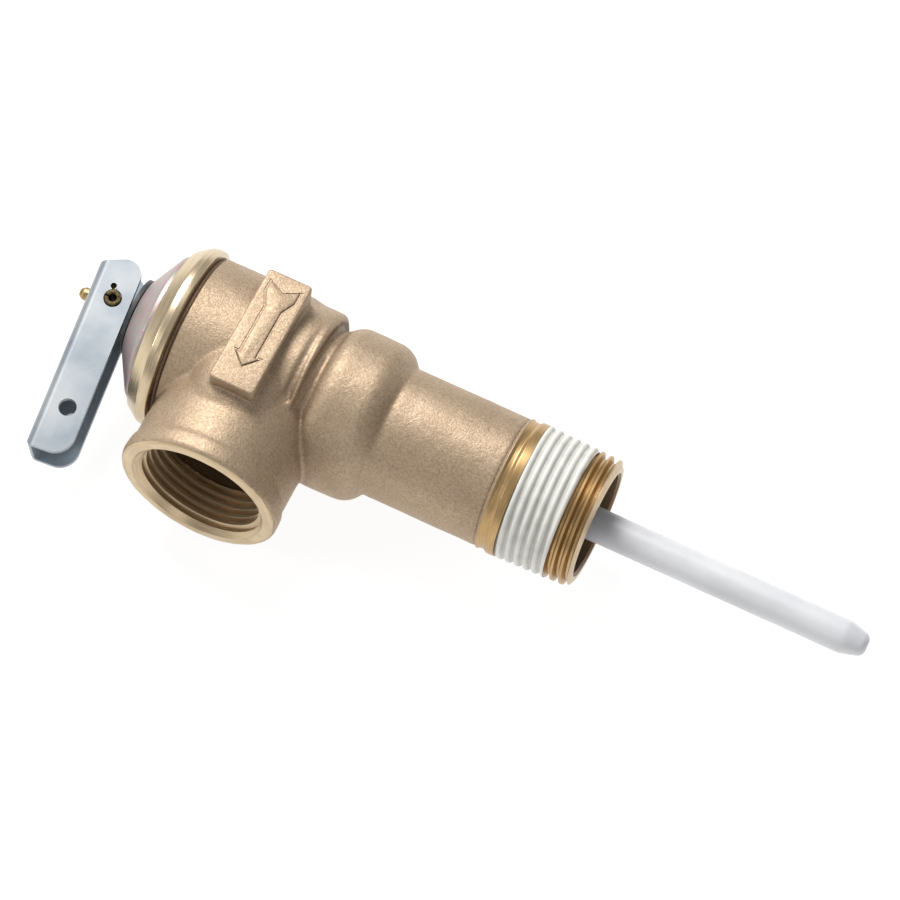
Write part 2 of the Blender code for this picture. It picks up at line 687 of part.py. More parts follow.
def lever_side():
    """Side view of an arm, as (reach towards the free end, height above the pin)."""
    low = -LEVER_DEPTH_BELOW_PIN
    high = LEVER_DEPTH_ABOVE_PIN
    web_corner = (-LEVER_NOSE + 1.9 * MM, high)
    end = LEVER_END_RADIUS
    nose = LEVER_NOSE_RADIUS
    outline = arc((LEVER_REACH - end, low + end), end, -90, 0, 5)
    outline += arc((LEVER_REACH - 1.2 * MM, high - 1.2 * MM), 1.2 * MM, 0, 90, 2)
    outline += [web_corner]
    outline += arc((-LEVER_NOSE + nose, low + nose), nose, 160, 270, 6)
    return outline


def channel_section():
    """End view of the folded sheet, as (across, height above the pin)."""
    low = -LEVER_DEPTH_BELOW_PIN - MM
    high = LEVER_DEPTH_ABOVE_PIN
    outer = LEVER_WIDTH / 2
    inner = outer - LEVER_SHEET
    bend = LEVER_BEND_RADIUS
    inside = bend - LEVER_SHEET
    corner = (outer - bend, high - bend)
    mirrored = (-corner[0], corner[1])
    over = [(outer, low)] + arc(corner, bend, 0, 90, 4) + arc(mirrored, bend, 90, 180, 4) + [(-outer, low)]
    under = [(-inner, low)] + arc(mirrored, inside, 180, 90, 3) + arc(corner, inside, 90, 0, 3) + [(inner, low)]
    return over + under


def web_slot():
    """The slot in the fold that lets the stem's tip through at every angle of the lever."""
    half = STEM_TIP_RADIUS + 0.6 * MM
    return arc((0, 0), half, 0, 180, 8) + arc((0, half - STEM_END_ABOVE_PIN), half, 180, 360, 8)


def lever():
    # The channel runs along the lever: its section stands upright, across the arms
    length = 2 * (LEVER_REACH + LEVER_NOSE)
    upright_section = {"parent": lever_frame, "rotation": (math.pi / 2, 0, 0)}
    channel = plate("lever", channel_section(), length, ZINC_STEEL, **upright_section)
    sideways = {"parent": lever_frame, "rotation": (math.pi / 2, 0, -math.pi / 2)}
    combine(channel, plate("lever_side", lever_side(), 2 * LEVER_WIDTH, **sideways), "INTERSECT")

    wide = LEVER_WIDTH
    across = {"parent": lever_frame, "rotation": (0, math.pi / 2, 0)}
    pin_hole = rod("lever_pin_hole", PIN_RADIUS + GAP, -wide, wide, **across)
    end_at = (0, -LEVER_HOLE_DISTANCE, 0)
    end_hole = rod("lever_end_hole", LEVER_HOLE_RADIUS, -wide, wide, location=end_at, **across)
    notch_at = (0, LEVER_NOTCH_DISTANCE, 0)
    notch = rod("lever_notch", LEVER_NOTCH_RADIUS, -wide, wide, location=notch_at, sides=12, **across)
    low = (-wide, PIN_RADIUS / 2, -LEVER_NOTCH_RADIUS / 2)
    high = (wide, LEVER_NOTCH_DISTANCE, LEVER_NOTCH_RADIUS / 2)
    link = box("lever_notch_link", low, high, parent=lever_frame)
    slot = plate("web_slot", web_slot(), 4 * MM, parent=lever_frame, location=(0, 0, LEVER_DEPTH_ABOVE_PIN))
    cut(channel, pin_hole, notch, link, end_hole, slot)


# ---------------------------------------------------------------- thermostat


def probe_shell(name, outer, wall, top, start, finish):
    """A tube that the probe's cone closes at its bottom end; the outline runs up inside and down outside."""
    cone = start + PROBE_TIP_LENGTH
    tip = PROBE_TIP_RADIUS - PROBE_RADIUS + outer
    inner = outer - wall
    outline = [
        (0, start + wall),
        (max(tip - wall, 0.2 * MM), start + wall + 0.3 * MM),
        (inner, cone + wall * 0.5),
        (inner, top),
        (outer, top),
        (outer, cone),
        (tip, start + 0.5 * MM),
        (tip * 0.6, start),
        (0, start),
    ]
    turned(name, outline, finish)


def thermostat():
    skin_start = -PROBE_LENGTH
    tube_start = skin_start + COATING_THICKNESS + GAP
    wax_start = tube_start + TUBE_WALL + 2 * GAP
    probe_shell("probe_coating", PROBE_RADIUS, COATING_THICKNESS, COATING_DEPTH, skin_start, COATING)
    probe_shell("probe_tube", TUBE_RADIUS, TUBE_WALL, TUBE_TOP, tube_start, COPPER)
    seal_top = TUBE_TOP - GAP
    seal_bottom = seal_top - SEAL_LENGTH
    turned(
        "wax_charge",
        [(0, seal_bottom - GAP), (WAX_RADIUS, seal_bottom - GAP), (WAX_RADIUS, wax_start + PROBE_TIP_LENGTH),
         (0.4 * MM, wax_start), (0, wax_start)],
        WAX,
    )
    rod("head_seal", WAX_RADIUS, seal_bottom, seal_top, RUBBER)

    rod_bore = ROD_RADIUS + GAP
    socket = TUBE_RADIUS + GAP
    flange_bottom = HEAD_FLANGE_TOP - 1.6 * MM
    head_top = HEAD_BOTTOM + HEAD_LENGTH
    turned(
        "element_head",
        [
            (HEAD_RADIUS - 0.8 * MM, head_top),
            (HEAD_RADIUS, head_top - 0.8 * MM),
            (HEAD_RADIUS, HEAD_FLANGE_TOP),
            (HEAD_FLANGE_RADIUS, HEAD_FLANGE_TOP),
            (HEAD_FLANGE_RADIUS, flange_bottom),
            (HEAD_RADIUS - 0.8 * MM, flange_bottom),
            (HEAD_RADIUS - 0.8 * MM, HEAD_BOTTOM),
            (socket, HEAD_BOTTOM),
            (socket, TUBE_TOP + GAP),
            (rod_bore, TUBE_TOP + GAP),
            (rod_bore, head_top),
        ],
        BRASS,
        ring=True,
    )
    rod("push_rod", ROD_RADIUS, ROD_BOTTOM, ROD_TOP, SPRING_STEEL)

    rim = BORE_RADIUS - GAP
    carrier_top = CARRIER_BOTTOM + CARRIER_THICKNESS
    inside = rim - CARRIER_RIM
    carrier = tube("probe_carrier", rim, inside, CARRIER_BOTTOM, carrier_top, BRASS, sides=BODY_SIDES)
    hub = rod("carrier_hub", HEAD_RADIUS + 1.3 * MM, CARRIER_BOTTOM, carrier_top)
    reach = rim - 0.5 * MM
    half = CARRIER_ARM_WIDTH / 2
    inset = 0.3 * MM
    arm_a = box("carrier_arm_a", (-reach, -half, CARRIER_BOTTOM + inset), (reach, half, carrier_top - inset))
    arm_b = box("carrier_arm_b", (-half, -reach, CARRIER_BOTTOM + inset), (half, reach, carrier_top - inset))
    hub_bore = rod("carrier_bore", HEAD_RADIUS + GAP, CARRIER_BOTTOM - MM, carrier_top + MM)
    join(carrier, hub, arm_a, arm_b)
    cut(carrier, hub_bore)

    ring_top = CARRIER_BOTTOM - 2 * GAP
    outer = BORE_RADIUS + RING_GROOVE_DEPTH - GAP
    inner = BORE_RADIUS - RING_PROUD
    bottom = ring_top - RING_THICKNESS
    ring = tube("carrier_ring", outer, inner, bottom, ring_top, SPRING_STEEL, sides=BODY_SIDES)
    low = (0, -RING_OPENING / 2, bottom - MM)
    high = (2 * outer, RING_OPENING / 2, ring_top + MM)
    cut(ring, box("ring_opening", low, high))


# ---------------------------------------------------------------- build

valve_body()
thread_sealant()
bonnet()
stem_bushing()
lever_washer()
spring()
disc()
stem()
lever_pin()
lever()
thermostat()


def bake(piece):
    """Turns the modifiers' result into the piece's own mesh, smooth but for its real edges."""
    graph = bpy.context.evaluated_depsgraph_get()
    mesh = bpy.data.meshes.new_from_object(piece.evaluated_get(graph))
    piece.modifiers.clear()
    piece.data = mesh
    mesh.shade_smooth()
    mesh.set_sharp_from_angle(angle=math.radians(35))


bpy.context.view_layer.update()
for piece in valve.objects:
    if piece.type == "MESH":
        bake(piece)
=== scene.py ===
import json
import math

import bmesh
import bpy
from mathutils import Matrix, Vector, noise

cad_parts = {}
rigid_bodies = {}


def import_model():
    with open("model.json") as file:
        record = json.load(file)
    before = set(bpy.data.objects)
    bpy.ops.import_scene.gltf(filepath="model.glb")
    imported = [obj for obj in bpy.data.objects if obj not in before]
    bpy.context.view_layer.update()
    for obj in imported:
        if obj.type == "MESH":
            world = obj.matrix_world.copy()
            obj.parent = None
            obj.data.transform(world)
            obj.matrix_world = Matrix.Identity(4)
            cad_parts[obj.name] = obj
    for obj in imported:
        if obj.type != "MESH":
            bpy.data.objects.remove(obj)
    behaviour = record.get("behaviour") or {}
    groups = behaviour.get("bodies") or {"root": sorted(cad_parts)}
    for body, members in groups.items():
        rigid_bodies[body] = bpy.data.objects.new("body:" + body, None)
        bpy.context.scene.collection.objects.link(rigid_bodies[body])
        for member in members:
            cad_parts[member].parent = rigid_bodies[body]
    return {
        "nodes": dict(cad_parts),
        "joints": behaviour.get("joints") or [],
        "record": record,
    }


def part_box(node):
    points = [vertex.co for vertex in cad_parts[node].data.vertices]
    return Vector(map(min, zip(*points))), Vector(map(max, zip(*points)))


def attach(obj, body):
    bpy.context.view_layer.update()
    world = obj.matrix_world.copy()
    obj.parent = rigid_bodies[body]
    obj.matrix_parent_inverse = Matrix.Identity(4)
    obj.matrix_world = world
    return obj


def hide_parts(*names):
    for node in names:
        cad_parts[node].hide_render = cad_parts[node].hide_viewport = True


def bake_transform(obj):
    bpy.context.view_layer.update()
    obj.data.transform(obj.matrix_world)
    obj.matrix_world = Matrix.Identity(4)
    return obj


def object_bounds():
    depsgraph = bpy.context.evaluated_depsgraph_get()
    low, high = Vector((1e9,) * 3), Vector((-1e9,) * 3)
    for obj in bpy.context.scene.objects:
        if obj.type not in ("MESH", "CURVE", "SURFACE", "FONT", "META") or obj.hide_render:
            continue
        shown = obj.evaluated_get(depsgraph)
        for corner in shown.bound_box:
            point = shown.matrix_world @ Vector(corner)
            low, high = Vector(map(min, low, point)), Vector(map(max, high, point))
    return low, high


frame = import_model()
cadLow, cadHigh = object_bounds()

mm = 0.001
joints = {joint["name"]: joint for joint in frame["joints"]}


def boxOf(node):  # a node's bottom, top and radius, measured up the valve from the inlet's end face
    low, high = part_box(node)
    return -high.x, -low.x, max(high.y, -low.y)


# The valve is worked on upright: local Z runs from the probe up to the lever, and the outlet faces local -Y
upright = Matrix.Rotation(-math.pi / 2, 4, "Y")
leverSwivel = math.radians(12)
leverDroop = math.radians(5)
outletHeight = -frame["record"]["mounts"][2]["pos_m"][0]
pinHeight = -joints["lever_swing"]["pos_m"][0]
outletUp = upright @ Matrix.Translation((0, 0, outletHeight)) @ Matrix.Rotation(math.pi / 2, 4, "X")
stemUp = upright @ Matrix.Rotation(-leverSwivel, 4, "Z")
pinUp = stemUp @ Matrix.Translation((0, 0, pinHeight))
leverUp = pinUp @ Matrix.Rotation(leverDroop, 4, "X")

# Camera, lights and floor

studio = {
    "cameraAt": (110.9 * mm, -454.4 * mm, 884.4 * mm),
    "azimuth": 17.36,  # degrees, turning the camera round the object's vertical
    "elevation": 61.62,
    "roll": 8.92,
    "lens": 211.48,
    "floor": "#8A8A8A",
    "floorSize": 6.0,
    "floorGlow": 0.88,  # the white sweep is lit from behind, so that it stays white round the valve
    "worldGrey": "#F2F4F6",
    "worldStrength": 0.36,
}


def linear(hexColour):  # sRGB hex to the linear colour that shaders take
    channels = [int(hexColour[i : i + 2], 16) / 255 for i in (1, 3, 5)]
    return tuple(c / 12.92 if c <= 0.04045 else ((c + 0.055) / 1.055) ** 2.4 for c in channels) + (1.0,)


def connect(tree, node, links):
    for socket, source in links.items():
        if isinstance(source, bpy.types.Node):
            source = source.outputs[0]
        tree.links.new(source, node.inputs[socket])


def addNode(tree, kind, settings=None, links=None):
    node = tree.nodes.new(kind)
    for name, value in (settings or {}).items():
        if name == "stops":  # (place, colour or grey) pairs of a colour ramp
            band = node.color_ramp.elements
            while len(band) < len(value):
                band.new(0.5)
            for element, (place, colour) in zip(band, value):
                element.position = place
                element.color = linear(colour) if isinstance(colour, str) else (colour, colour, colour, 1)
        elif name in node.inputs:
            node.inputs[name].default_value = value
        else:
            setattr(node, name, value)
    connect(tree, node, links or {})
    return node


def setUpCamera():
    a, e, r = (math.radians(studio[k]) for k in ("azimuth", "elevation", "roll"))
    right = Vector((math.cos(a), math.sin(a), 0))
    back = Vector((math.sin(a) * math.cos(e), -math.cos(a) * math.cos(e), math.sin(e)))
    up = back.cross(right)
    sideways = right * math.cos(r) + up * math.sin(r)
    upwards = up * math.cos(r) - right * math.sin(r)
    camera = bpy.data.objects.new("camera", bpy.data.cameras.new("camera"))
    bpy.context.scene.collection.objects.link(camera)
    camera.data.lens = studio["lens"]
    camera.data.sensor_width = 36
    turn = Matrix((sideways, upwards, back)).transposed()
    camera.matrix_world = Matrix.Translation(studio["cameraAt"]) @ turn.to_4x4()
    bpy.context.scene.camera = camera


softboxes = {  # place, aim, size and power of each lamp
    "key": {"at": (-0.62, 0.50, 1.0), "aim": (-0.04, 0, 0), "size": 0.55, "power": 17.0},
    "window": {"at": (-0.85, -0.55, 0.55), "aim": (-0.07, -0.02, 0), "size": 0.3, "power": 1.8},
    "front": {"at": (0.25, -1.05, 0.65), "aim": (-0.08, -0.02, 0), "size": 0.4, "power": 1.3},
}


def setUpLights():
    for name, lamp in softboxes.items():
        light = bpy.data.lights.new(name, "AREA")
        light.size = lamp["size"]
        light.energy = lamp["power"]
        placed = bpy.data.objects.new(name, light)
        placed.location = lamp["at"]
        aim = Vector(lamp["aim"]) - Vector(lamp["at"])
        placed.rotation_euler = aim.to_track_quat("-Z", "Y").to_euler()
        bpy.context.scene.collection.objects.link(placed)
    world = bpy.data.worlds.new("studioAir")
    world.use_nodes = True
    air = world.node_tree.nodes["Background"]
    air.inputs["Color"].default_value = linear(studio["worldGrey"])
    air.inputs["Strength"].default_value = studio["worldStrength"]
    bpy.context.scene.world = world
    bpy.context.scene.view_settings.view_transform = "Standard"


def setUpFloor():
    bm = bmesh.new()
    bmesh.ops.create_grid(bm, x_segments=1, y_segments=1, size=studio["floorSize"] / 2)
    bmesh.ops.translate(bm, verts=bm.verts, vec=(0, 0, cadLow.z))
    mesh = bpy.data.meshes.new("studioFloor")
    bm.to_mesh(mesh)
    bm.free()
    paper = bpy.data.materials.new("whitePaperSweep")
    paper.use_nodes = True
    shader = paper.node_tree.nodes["Principled BSDF"]
    shader.inputs["Base Color"].default_value = linear(studio["floor"])
    shader.inputs["Roughness"].default_value = 0.9
    shader.inputs["Emission Color"].default_value = linear("#FFFFFF")
    shader.inputs["Emission Strength"].default_value = studio["floorGlow"]
    mesh.materials.append(paper)
    floor = bpy.data.objects.new("studioFloor", mesh)
    bpy.context.scene.collection.objects.link(floor)


setUpCamera()
setUpLights()
setUpFloor()
print("studio: camera, softboxes and floor are up")

# Materials: one for each real finish, and shaded copies where shade is painted


def newFinish(name, metallic=0.0, rough=0.5):
    made = bpy.data.materials.new(name)
    made.use_nodes = True
    tree = made.node_tree
    shader = tree.nodes["Principled BSDF"]
    shader.inputs["Metallic"].default_value = metallic
    shader.inputs["Roughness"].default_value = rough
    return made, tree, shader, addNode(tree, "ShaderNodeTexCoord").outputs["Object"]


def sandCastBronze():  # poured in sand and shot-blasted: matt tan skin with a fine, glittering grain
    made, tree, shader, where = newFinish("sandCastBronze", 0.6)
    patches = addNode(tree, "ShaderNodeTexNoise", {"Scale": 1 / (7 * mm), "Detail": 3}, {"Vector": where})
    stops = [(0.3, "#A99278"), (0.55, "#B49D82"), (0.75, "#BCA68D")]
    tint = addNode(tree, "ShaderNodeValToRGB", {"stops": stops}, {"Fac": patches})
    grit = addNode(tree, "ShaderNodeTexNoise", {"Scale": 1 / (0.45 * mm), "Detail": 3}, {"Vector": where})
    stops = [(0.3, "#846E55"), (0.5, "#B29B81"), (0.72, "#D0BCA1")]
    speck = addNode(tree, "ShaderNodeValToRGB", {"stops": stops}, {"Fac": grit})
    mixed = addNode(tree, "ShaderNodeMix", {"data_type": "RGBA", "Factor": 0.38}, {6: tint, 7: speck})
    hollow = addNode(tree, "ShaderNodeAmbientOcclusion", {"Distance": 4 * mm, "samples": 8}).outputs["AO"]
    stops = [(0.3, "#7A573A"), (0.85, "#FFFFFF")]  # painted shade: darker in the creases, from ambient occlusion
    creaseShade = addNode(tree, "ShaderNodeValToRGB", {"stops": stops}, {"Fac": hollow})
    settings = {"data_type": "RGBA", "blend_type": "MULTIPLY", "Factor": 0.8}
    creaseShaded = addNode(tree, "ShaderNodeMix", settings, {6: mixed.outputs[2], 7: creaseShade})
    gloss = addNode(tree, "ShaderNodeTexNoise", {"Scale": 1 / (0.6 * mm), "Detail": 4}, {"Vector": where})
    rough = addNode(tree, "ShaderNodeValToRGB", {"stops": [(0.3, 0.46), (0.7, 0.58)]}, {"Fac": gloss})
    settings = {"Scale": 1 / (0.42 * mm), "Detail": 5, "Roughness": 0.62}
    sand = addNode(tree, "ShaderNodeTexNoise", settings, {"Vector": where})
    lumps = addNode(tree, "ShaderNodeTexNoise", {"Scale": 1 / (2.4 * mm), "Detail": 3}, {"Vector": where})
    fine = addNode(tree, "ShaderNodeBump", {"Strength": 0.75, "Distance": 0.12 * mm}, {"Height": sand})
    settings = {"Strength": 0.35, "Distance": 0.25 * mm}
    broad = addNode(tree, "ShaderNodeBump", settings, {"Height": lumps, "Normal": fine})
    connect(tree, shader, {"Base Color": creaseShaded.outputs[2], "Roughness": rough, "Normal": broad})
    return made


def turnedBronze(name, along, light, dark, metallic, rough):
    # cut on a lathe: bright and golden, with tool marks running round the axis
    made, tree, shader, where = newFinish(name, metallic)
    stretch = {"X": (1, 0.02, 0.02), "Y": (0.02, 1, 0.02)}[along]
    drawn = addNode(tree, "ShaderNodeMapping", {"Scale": stretch}, {"Vector": where})
    # real marks are about 0.05 mm wide, and are 0.12 mm here, so that they show
    marks = addNode(tree, "ShaderNodeTexNoise", {"Scale": 1 / (0.12 * mm), "Detail": 2}, {"Vector": drawn})
    tint = addNode(tree, "ShaderNodeValToRGB", {"stops": [(0.2, dark), (0.75, light)]}, {"Fac": marks})
    stops = [(0.3, rough), (0.7, rough + 0.08)]
    gloss = addNode(tree, "ShaderNodeValToRGB", {"stops": stops}, {"Fac": marks})
    bump = addNode(tree, "ShaderNodeBump", {"Strength": 0.15, "Distance": 0.02 * mm}, {"Height": marks})
    connect(tree, shader, {"Base Color": tint, "Roughness": gloss, "Normal": bump})
    return made


def threadPaste():  # dried PTFE sealing paste: off-white and chalky, greyer in the grooves by painted shade
    made, tree, shader, where = newFinish("driedThreadPaste", rough=0.55)
    patches = addNode(tree, "ShaderNodeTexNoise", {"Scale": 1 / (3 * mm), "Detail": 4}, {"Vector": where})
    stops = [(0.3, "#D6D5CF"), (0.6, "#E6E4DD")]
    tint = addNode(tree, "ShaderNodeValToRGB", {"stops": stops}, {"Fac": patches})
    # painted shade: ambient occlusion greys the paste in the grooves
    hollow = addNode(tree, "ShaderNodeAmbientOcclusion", {"Distance": 1.2 * mm, "samples": 8}).outputs["AO"]
    stops = [(0.45, "#B9B8B0"), (0.95, "#FFFFFF")]
    shade = addNode(tree, "ShaderNodeValToRGB", {"stops": stops}, {"Fac": hollow})
    settings = {"data_type": "RGBA", "blend_type": "MULTIPLY", "Factor": 1.0}
    mixed = addNode(tree, "ShaderNodeMix", settings, {6: tint, 7: shade})
    chalk = addNode(tree, "ShaderNodeTexNoise", {"Scale": 1 / (0.5 * mm), "Detail": 4}, {"Vector": where})
    bump = addNode(tree, "ShaderNodeBump", {"Strength": 0.35, "Distance": 0.06 * mm}, {"Height": chalk})
    connect(tree, shader, {"Base Color": mixed.outputs[2], "Normal": bump})
    return made


def probeCoat():  # dipped polymer coat: pale grey-white, smooth, marbled grey
    made, tree, shader, where = newFinish("dippedPolymerCoat", rough=0.38)
    drawn = addNode(tree, "ShaderNodeMapping", {"Scale": (0.5, 1, 1)}, {"Vector": where})
    settings = {"Scale": 1 / (7 * mm), "Detail": 5, "Roughness": 0.6}
    marble = addNode(tree, "ShaderNodeTexNoise", settings, {"Vector": drawn})
    stops = [(0.3, "#CDCDD0"), (0.65, "#DEDEE0")]
    tint = addNode(tree, "ShaderNodeValToRGB", {"stops": stops}, {"Fac": marble})
    # painted shade: a little greyer where it comes out of the inlet
    along = addNode(tree, "ShaderNodeSeparateXYZ", links={"Vector": where})
    share = addNode(tree, "ShaderNodeMapRange", {"From Min": -4 * mm, "From Max": 9 * mm}, {"Value": along})
    stops = [(0.3, "#F0F0F2"), (0.9, "#FFFFFF")]
    shade = addNode(tree, "ShaderNodeValToRGB", {"stops": stops}, {"Fac": share})
    settings = {"data_type": "RGBA", "blend_type": "MULTIPLY", "Factor": 1.0}
    mixed = addNode(tree, "ShaderNodeMix", settings, {6: tint, 7: shade})
    runs = addNode(tree, "ShaderNodeTexNoise", {"Scale": 1 / (1.6 * mm), "Detail": 2}, {"Vector": where})
    bump = addNode(tree, "ShaderNodeBump", {"Strength": 0.2, "Distance": 0.05 * mm}, {"Height": runs})
    connect(tree, shader, {"Base Color": mixed.outputs[2], "Normal": bump})
    return made


def zincPlate(name, stops, patchSize, metallic=0.75):
    # bright zinc on rolled sheet: bluish grey with cloudy patches and faint rolling lines
    made, tree, shader, where = newFinish(name, metallic)
    settings = {"Scale": 1 / patchSize, "Detail": 4, "Roughness": 0.55}
    cloud = addNode(tree, "ShaderNodeTexNoise", settings, {"Vector": where})
    tint = addNode(tree, "ShaderNodeValToRGB", {"stops": stops}, {"Fac": cloud})
    drawn = addNode(tree, "ShaderNodeMapping", {"Scale": (0.08, 1, 1)}, {"Vector": where})
    streaks = addNode(tree, "ShaderNodeTexNoise", {"Scale": 1 / (0.35 * mm), "Detail": 3}, {"Vector": drawn})
    gloss = addNode(tree, "ShaderNodeValToRGB", {"stops": [(0.3, 0.44), (0.7, 0.5)]}, {"Fac": streaks})
    bump = addNode(tree, "ShaderNodeBump", {"Strength": 0.12, "Distance": 0.03 * mm}, {"Height": streaks})
    connect(tree, shader, {"Base Color": tint, "Roughness": gloss, "Normal": bump})
    return made


def smoothMetal(name, light, dark, rough):  # drawn or machined small parts, slightly cloudy
    made, tree, shader, where = newFinish(name, 1.0)
    cloud = addNode(tree, "ShaderNodeTexNoise", {"Scale": 1 / (0.5 * mm), "Detail": 3}, {"Vector": where})
    tint = addNode(tree, "ShaderNodeValToRGB", {"stops": [(0.3, dark), (0.65, light)]}, {"Fac": cloud})
    stops = [(0.3, rough), (0.7, rough + 0.12)]
    gloss = addNode(tree, "ShaderNodeValToRGB", {"stops": stops}, {"Fac": cloud})
    connect(tree, shader, {"Base Color": tint, "Roughness": gloss})
    return made


def mouldedPart(name, light, dark, rough, grainSize=1 * mm):  # rubber, fibre, wax: matt and mottled
    made, tree, shader, where = newFinish(name, 0.0, rough)
    cloud = addNode(tree, "ShaderNodeTexNoise", {"Scale": 1 / grainSize, "Detail": 4}, {"Vector": where})
    tint = addNode(tree, "ShaderNodeValToRGB", {"stops": [(0.3, dark), (0.65, light)]}, {"Fac": cloud})
    bump = addNode(tree, "ShaderNodeBump", {"Strength": 0.2, "Distance": 0.04 * mm}, {"Height": cloud})
    connect(tree, shader, {"Base Color": tint, "Normal": bump})
    return made


zincTints = {
    "bright": [(0.3, "#8A9299"), (0.5, "#9CA2A7"), (0.7, "#ABAEB0")],
    "shadedFold": [(0.3, "#8795A1"), (0.7, "#A0ACB5")],
    "chromated": [(0.32, "#B39CA2"), (0.44, "#C2A5A6"), (0.54, "#ACAFA1"), (0.66, "#C09BAC")],
}
finishes = {
    "castSkin": sandCastBronze(),
    "lathed": turnedBronze("turnedBronze", "X", "#CFAE7C", "#9C7B4E", 0.82, 0.32),
    "lathedRim": turnedBronze("polishedBronzeRim", "X", "#DFCEB0", "#C0A883", 0.85, 0.26),
    "lathedOutlet": turnedBronze("turnedBronzeOutlet", "Y", "#DAC6A5", "#B59A75", 0.75, 0.32),
    # painted shade: the bores are darker brown inside
    "boreSkin": turnedBronze("shadedBore", "X", "#8C7254", "#55412D", 0.6, 0.4),
    "paste": threadPaste(),
    "coat": probeCoat(),
    "zinc": zincPlate("brightZincPlate", zincTints["bright"], 9 * mm),
    # painted shade: a slate, less metallic copy of the zinc for inside the lever's fold
    "zincInside": zincPlate("shadedFoldZincPlate", zincTints["shadedFold"], 6 * mm, metallic=0.3),
    "bonnetZinc": zincPlate("chromatedZinc", zincTints["chromated"], 1.4 * mm),
    "washerBlack": mouldedPart("blackenedWasher", "#454B4C", "#2A2E2F", 0.45),
    # painted shade: the pin's brass is darkened for the shade on its end
    "pinBrass": smoothMetal("shadedPinBrass", "#6B5F40", "#2F291B", 0.5),
    "brass": smoothMetal("machinedBrass", "#D9BC7E", "#B08F50", 0.24),
    "stemBrass": smoothMetal("drawnBrass", "#C7AF7E", "#947C50", 0.36),
    "springWire": smoothMetal("drawnSpringWire", "#B9BBBE", "#7F8286", 0.25),
    "copper": smoothMetal("drawnCopper", "#D08C68", "#A4603C", 0.3),
    "silicone": mouldedPart("mouldedSilicone", "#9B4632", "#7C3324", 0.5),
    "fibre": mouldedPart("pressedFibre", "#4E6350", "#36483A", 0.85, 0.4 * mm),
    "rubber": mouldedPart("mouldedRubber", "#2B2B2B", "#191919", 0.6),
    "wax": mouldedPart("solidWax", "#C7A877", "#A98A58", 0.5),
}
print("materials:", len(finishes), "finishes mixed")

# Ways of making a shape


def softened(corners, arcSteps=6):
    # rounds an outline: each corner is (radius, height) or (radius, height, fillet)
    points = []
    for i, corner in enumerate(corners):
        here = Vector(corner[:2])
        fillet = corner[2] if len(corner) > 2 else 0
        if not fillet or i in (0, len(corners) - 1):
            points.append(here)
            continue
        before = (Vector(corners[i - 1][:2]) - here).normalized()
        after = (Vector(corners[i + 1][:2]) - here).normalized()
        half = before.angle(after) / 2
        if half > math.radians(89.5):
            points.append(here)
            continue
        reach = fillet / math.tan(half)
        centre = here + (before + after).normalized() * fillet / math.sin(half)
        start = here + before * reach - centre
        sweep = start.angle_signed(here + after * reach - centre)
        for step in range(arcSteps + 1):
            points.append(centre + Matrix.Rotation(-sweep * step / arcSteps, 2) @ start)
    return points


def spunShape(corners, steps=96, ring=False, place=upright):
    # a lathe shape: the outline is spun round local Z, then put in place
    outline = softened(corners)
    bm = bmesh.new()
    verts = [bm.verts.new((point[0], 0, point[1])) for point in outline]
    pairs = list(zip(verts, verts[1:])) + ([(verts[-1], verts[0])] if ring else [])
    edges = [bm.edges.new(pair) for pair in pairs]
    bmesh.ops.spin(bm, geom=verts + edges, axis=(0, 0, 1), angle=math.tau, steps=steps, use_merge=True)
    bmesh.ops.remove_doubles(bm, verts=bm.verts, dist=1e-6)
    bmesh.ops.recalc_face_normals(bm, faces=bm.faces)
    bmesh.ops.transform(bm, matrix=place, verts=bm.verts)
    return bm


def helixSolid(profile, bottom, turns, taper, steps=72, place=upright):
    # a screw: one pitch of its profile is spun with a rise, tapered, and closed to a point at both ends
    pitch = profile[-1][1] - profile[0][1]
    bm = bmesh.new()
    verts = [bm.verts.new((radius, 0, bottom + height)) for radius, height in profile]
    edges = [bm.edges.new(pair) for pair in zip(verts, verts[1:])]
    rise = (0, 0, pitch / steps)
    around = {"axis": (0, 0, 1), "angle": math.tau * turns, "steps": steps * turns, "dvec": rise}
    bmesh.ops.spin(bm, geom=verts + edges, **around)
    bmesh.ops.remove_doubles(bm, verts=bm.verts, dist=1e-6)
    for vert in bm.verts:
        flat = Vector((vert.co.x, vert.co.y))
        flat *= 1 + taper * vert.co.z / flat.length
        vert.co.x, vert.co.y = flat
    for end in (bottom + pitch / 2, bottom + (turns + 0.5) * pitch):
        rim = [e for e in bm.edges if e.is_boundary and abs(e.verts[0].co.z - end) < pitch]
        made = bmesh.ops.extrude_edge_only(bm, edges=rim)["geom"]
        tips = [g for g in made if isinstance(g, bmesh.types.BMVert)]
        bmesh.ops.pointmerge(bm, verts=tips, merge_co=(0, 0, end))
    bmesh.ops.recalc_face_normals(bm, faces=bm.faces)
    bmesh.ops.transform(bm, matrix=place, verts=bm.verts)
    return bm


def prism(outline, travel, place):
    # a flat outline, given as points, is made a face and extruded by travel
    bm = bmesh.new()
    face = bm.faces.new([bm.verts.new(point) for point in outline])
    made = bmesh.ops.extrude_face_region(bm, geom=[face], use_keep_orig=True)["geom"]
    bmesh.ops.translate(bm, verts=[g for g in made if isinstance(g, bmesh.types.BMVert)], vec=travel)
    bmesh.ops.recalc_face_normals(bm, faces=bm.faces)
    bmesh.ops.transform(bm, matrix=place, verts=bm.verts)
    return bm


def arcPoints(centre, radius, start, end, steps):
    angles = (math.radians(start + (end - start) * step / steps) for step in range(steps + 1))
    return [(centre[0] + radius * math.cos(a), centre[1] + radius * math.sin(a)) for a in angles]


def asObject(name, bm):
    mesh = bpy.data.meshes.new(name)
    bm.to_mesh(mesh)
    bm.free()
    made = bpy.data.objects.new(name, mesh)
    bpy.context.scene.collection.objects.link(made)
    return made


def applyModifiers(piece):
    graph = bpy.context.evaluated_depsgraph_get()
    mesh = bpy.data.meshes.new_from_object(piece.evaluated_get(graph))
    piece.modifiers.clear()
    piece.data = mesh


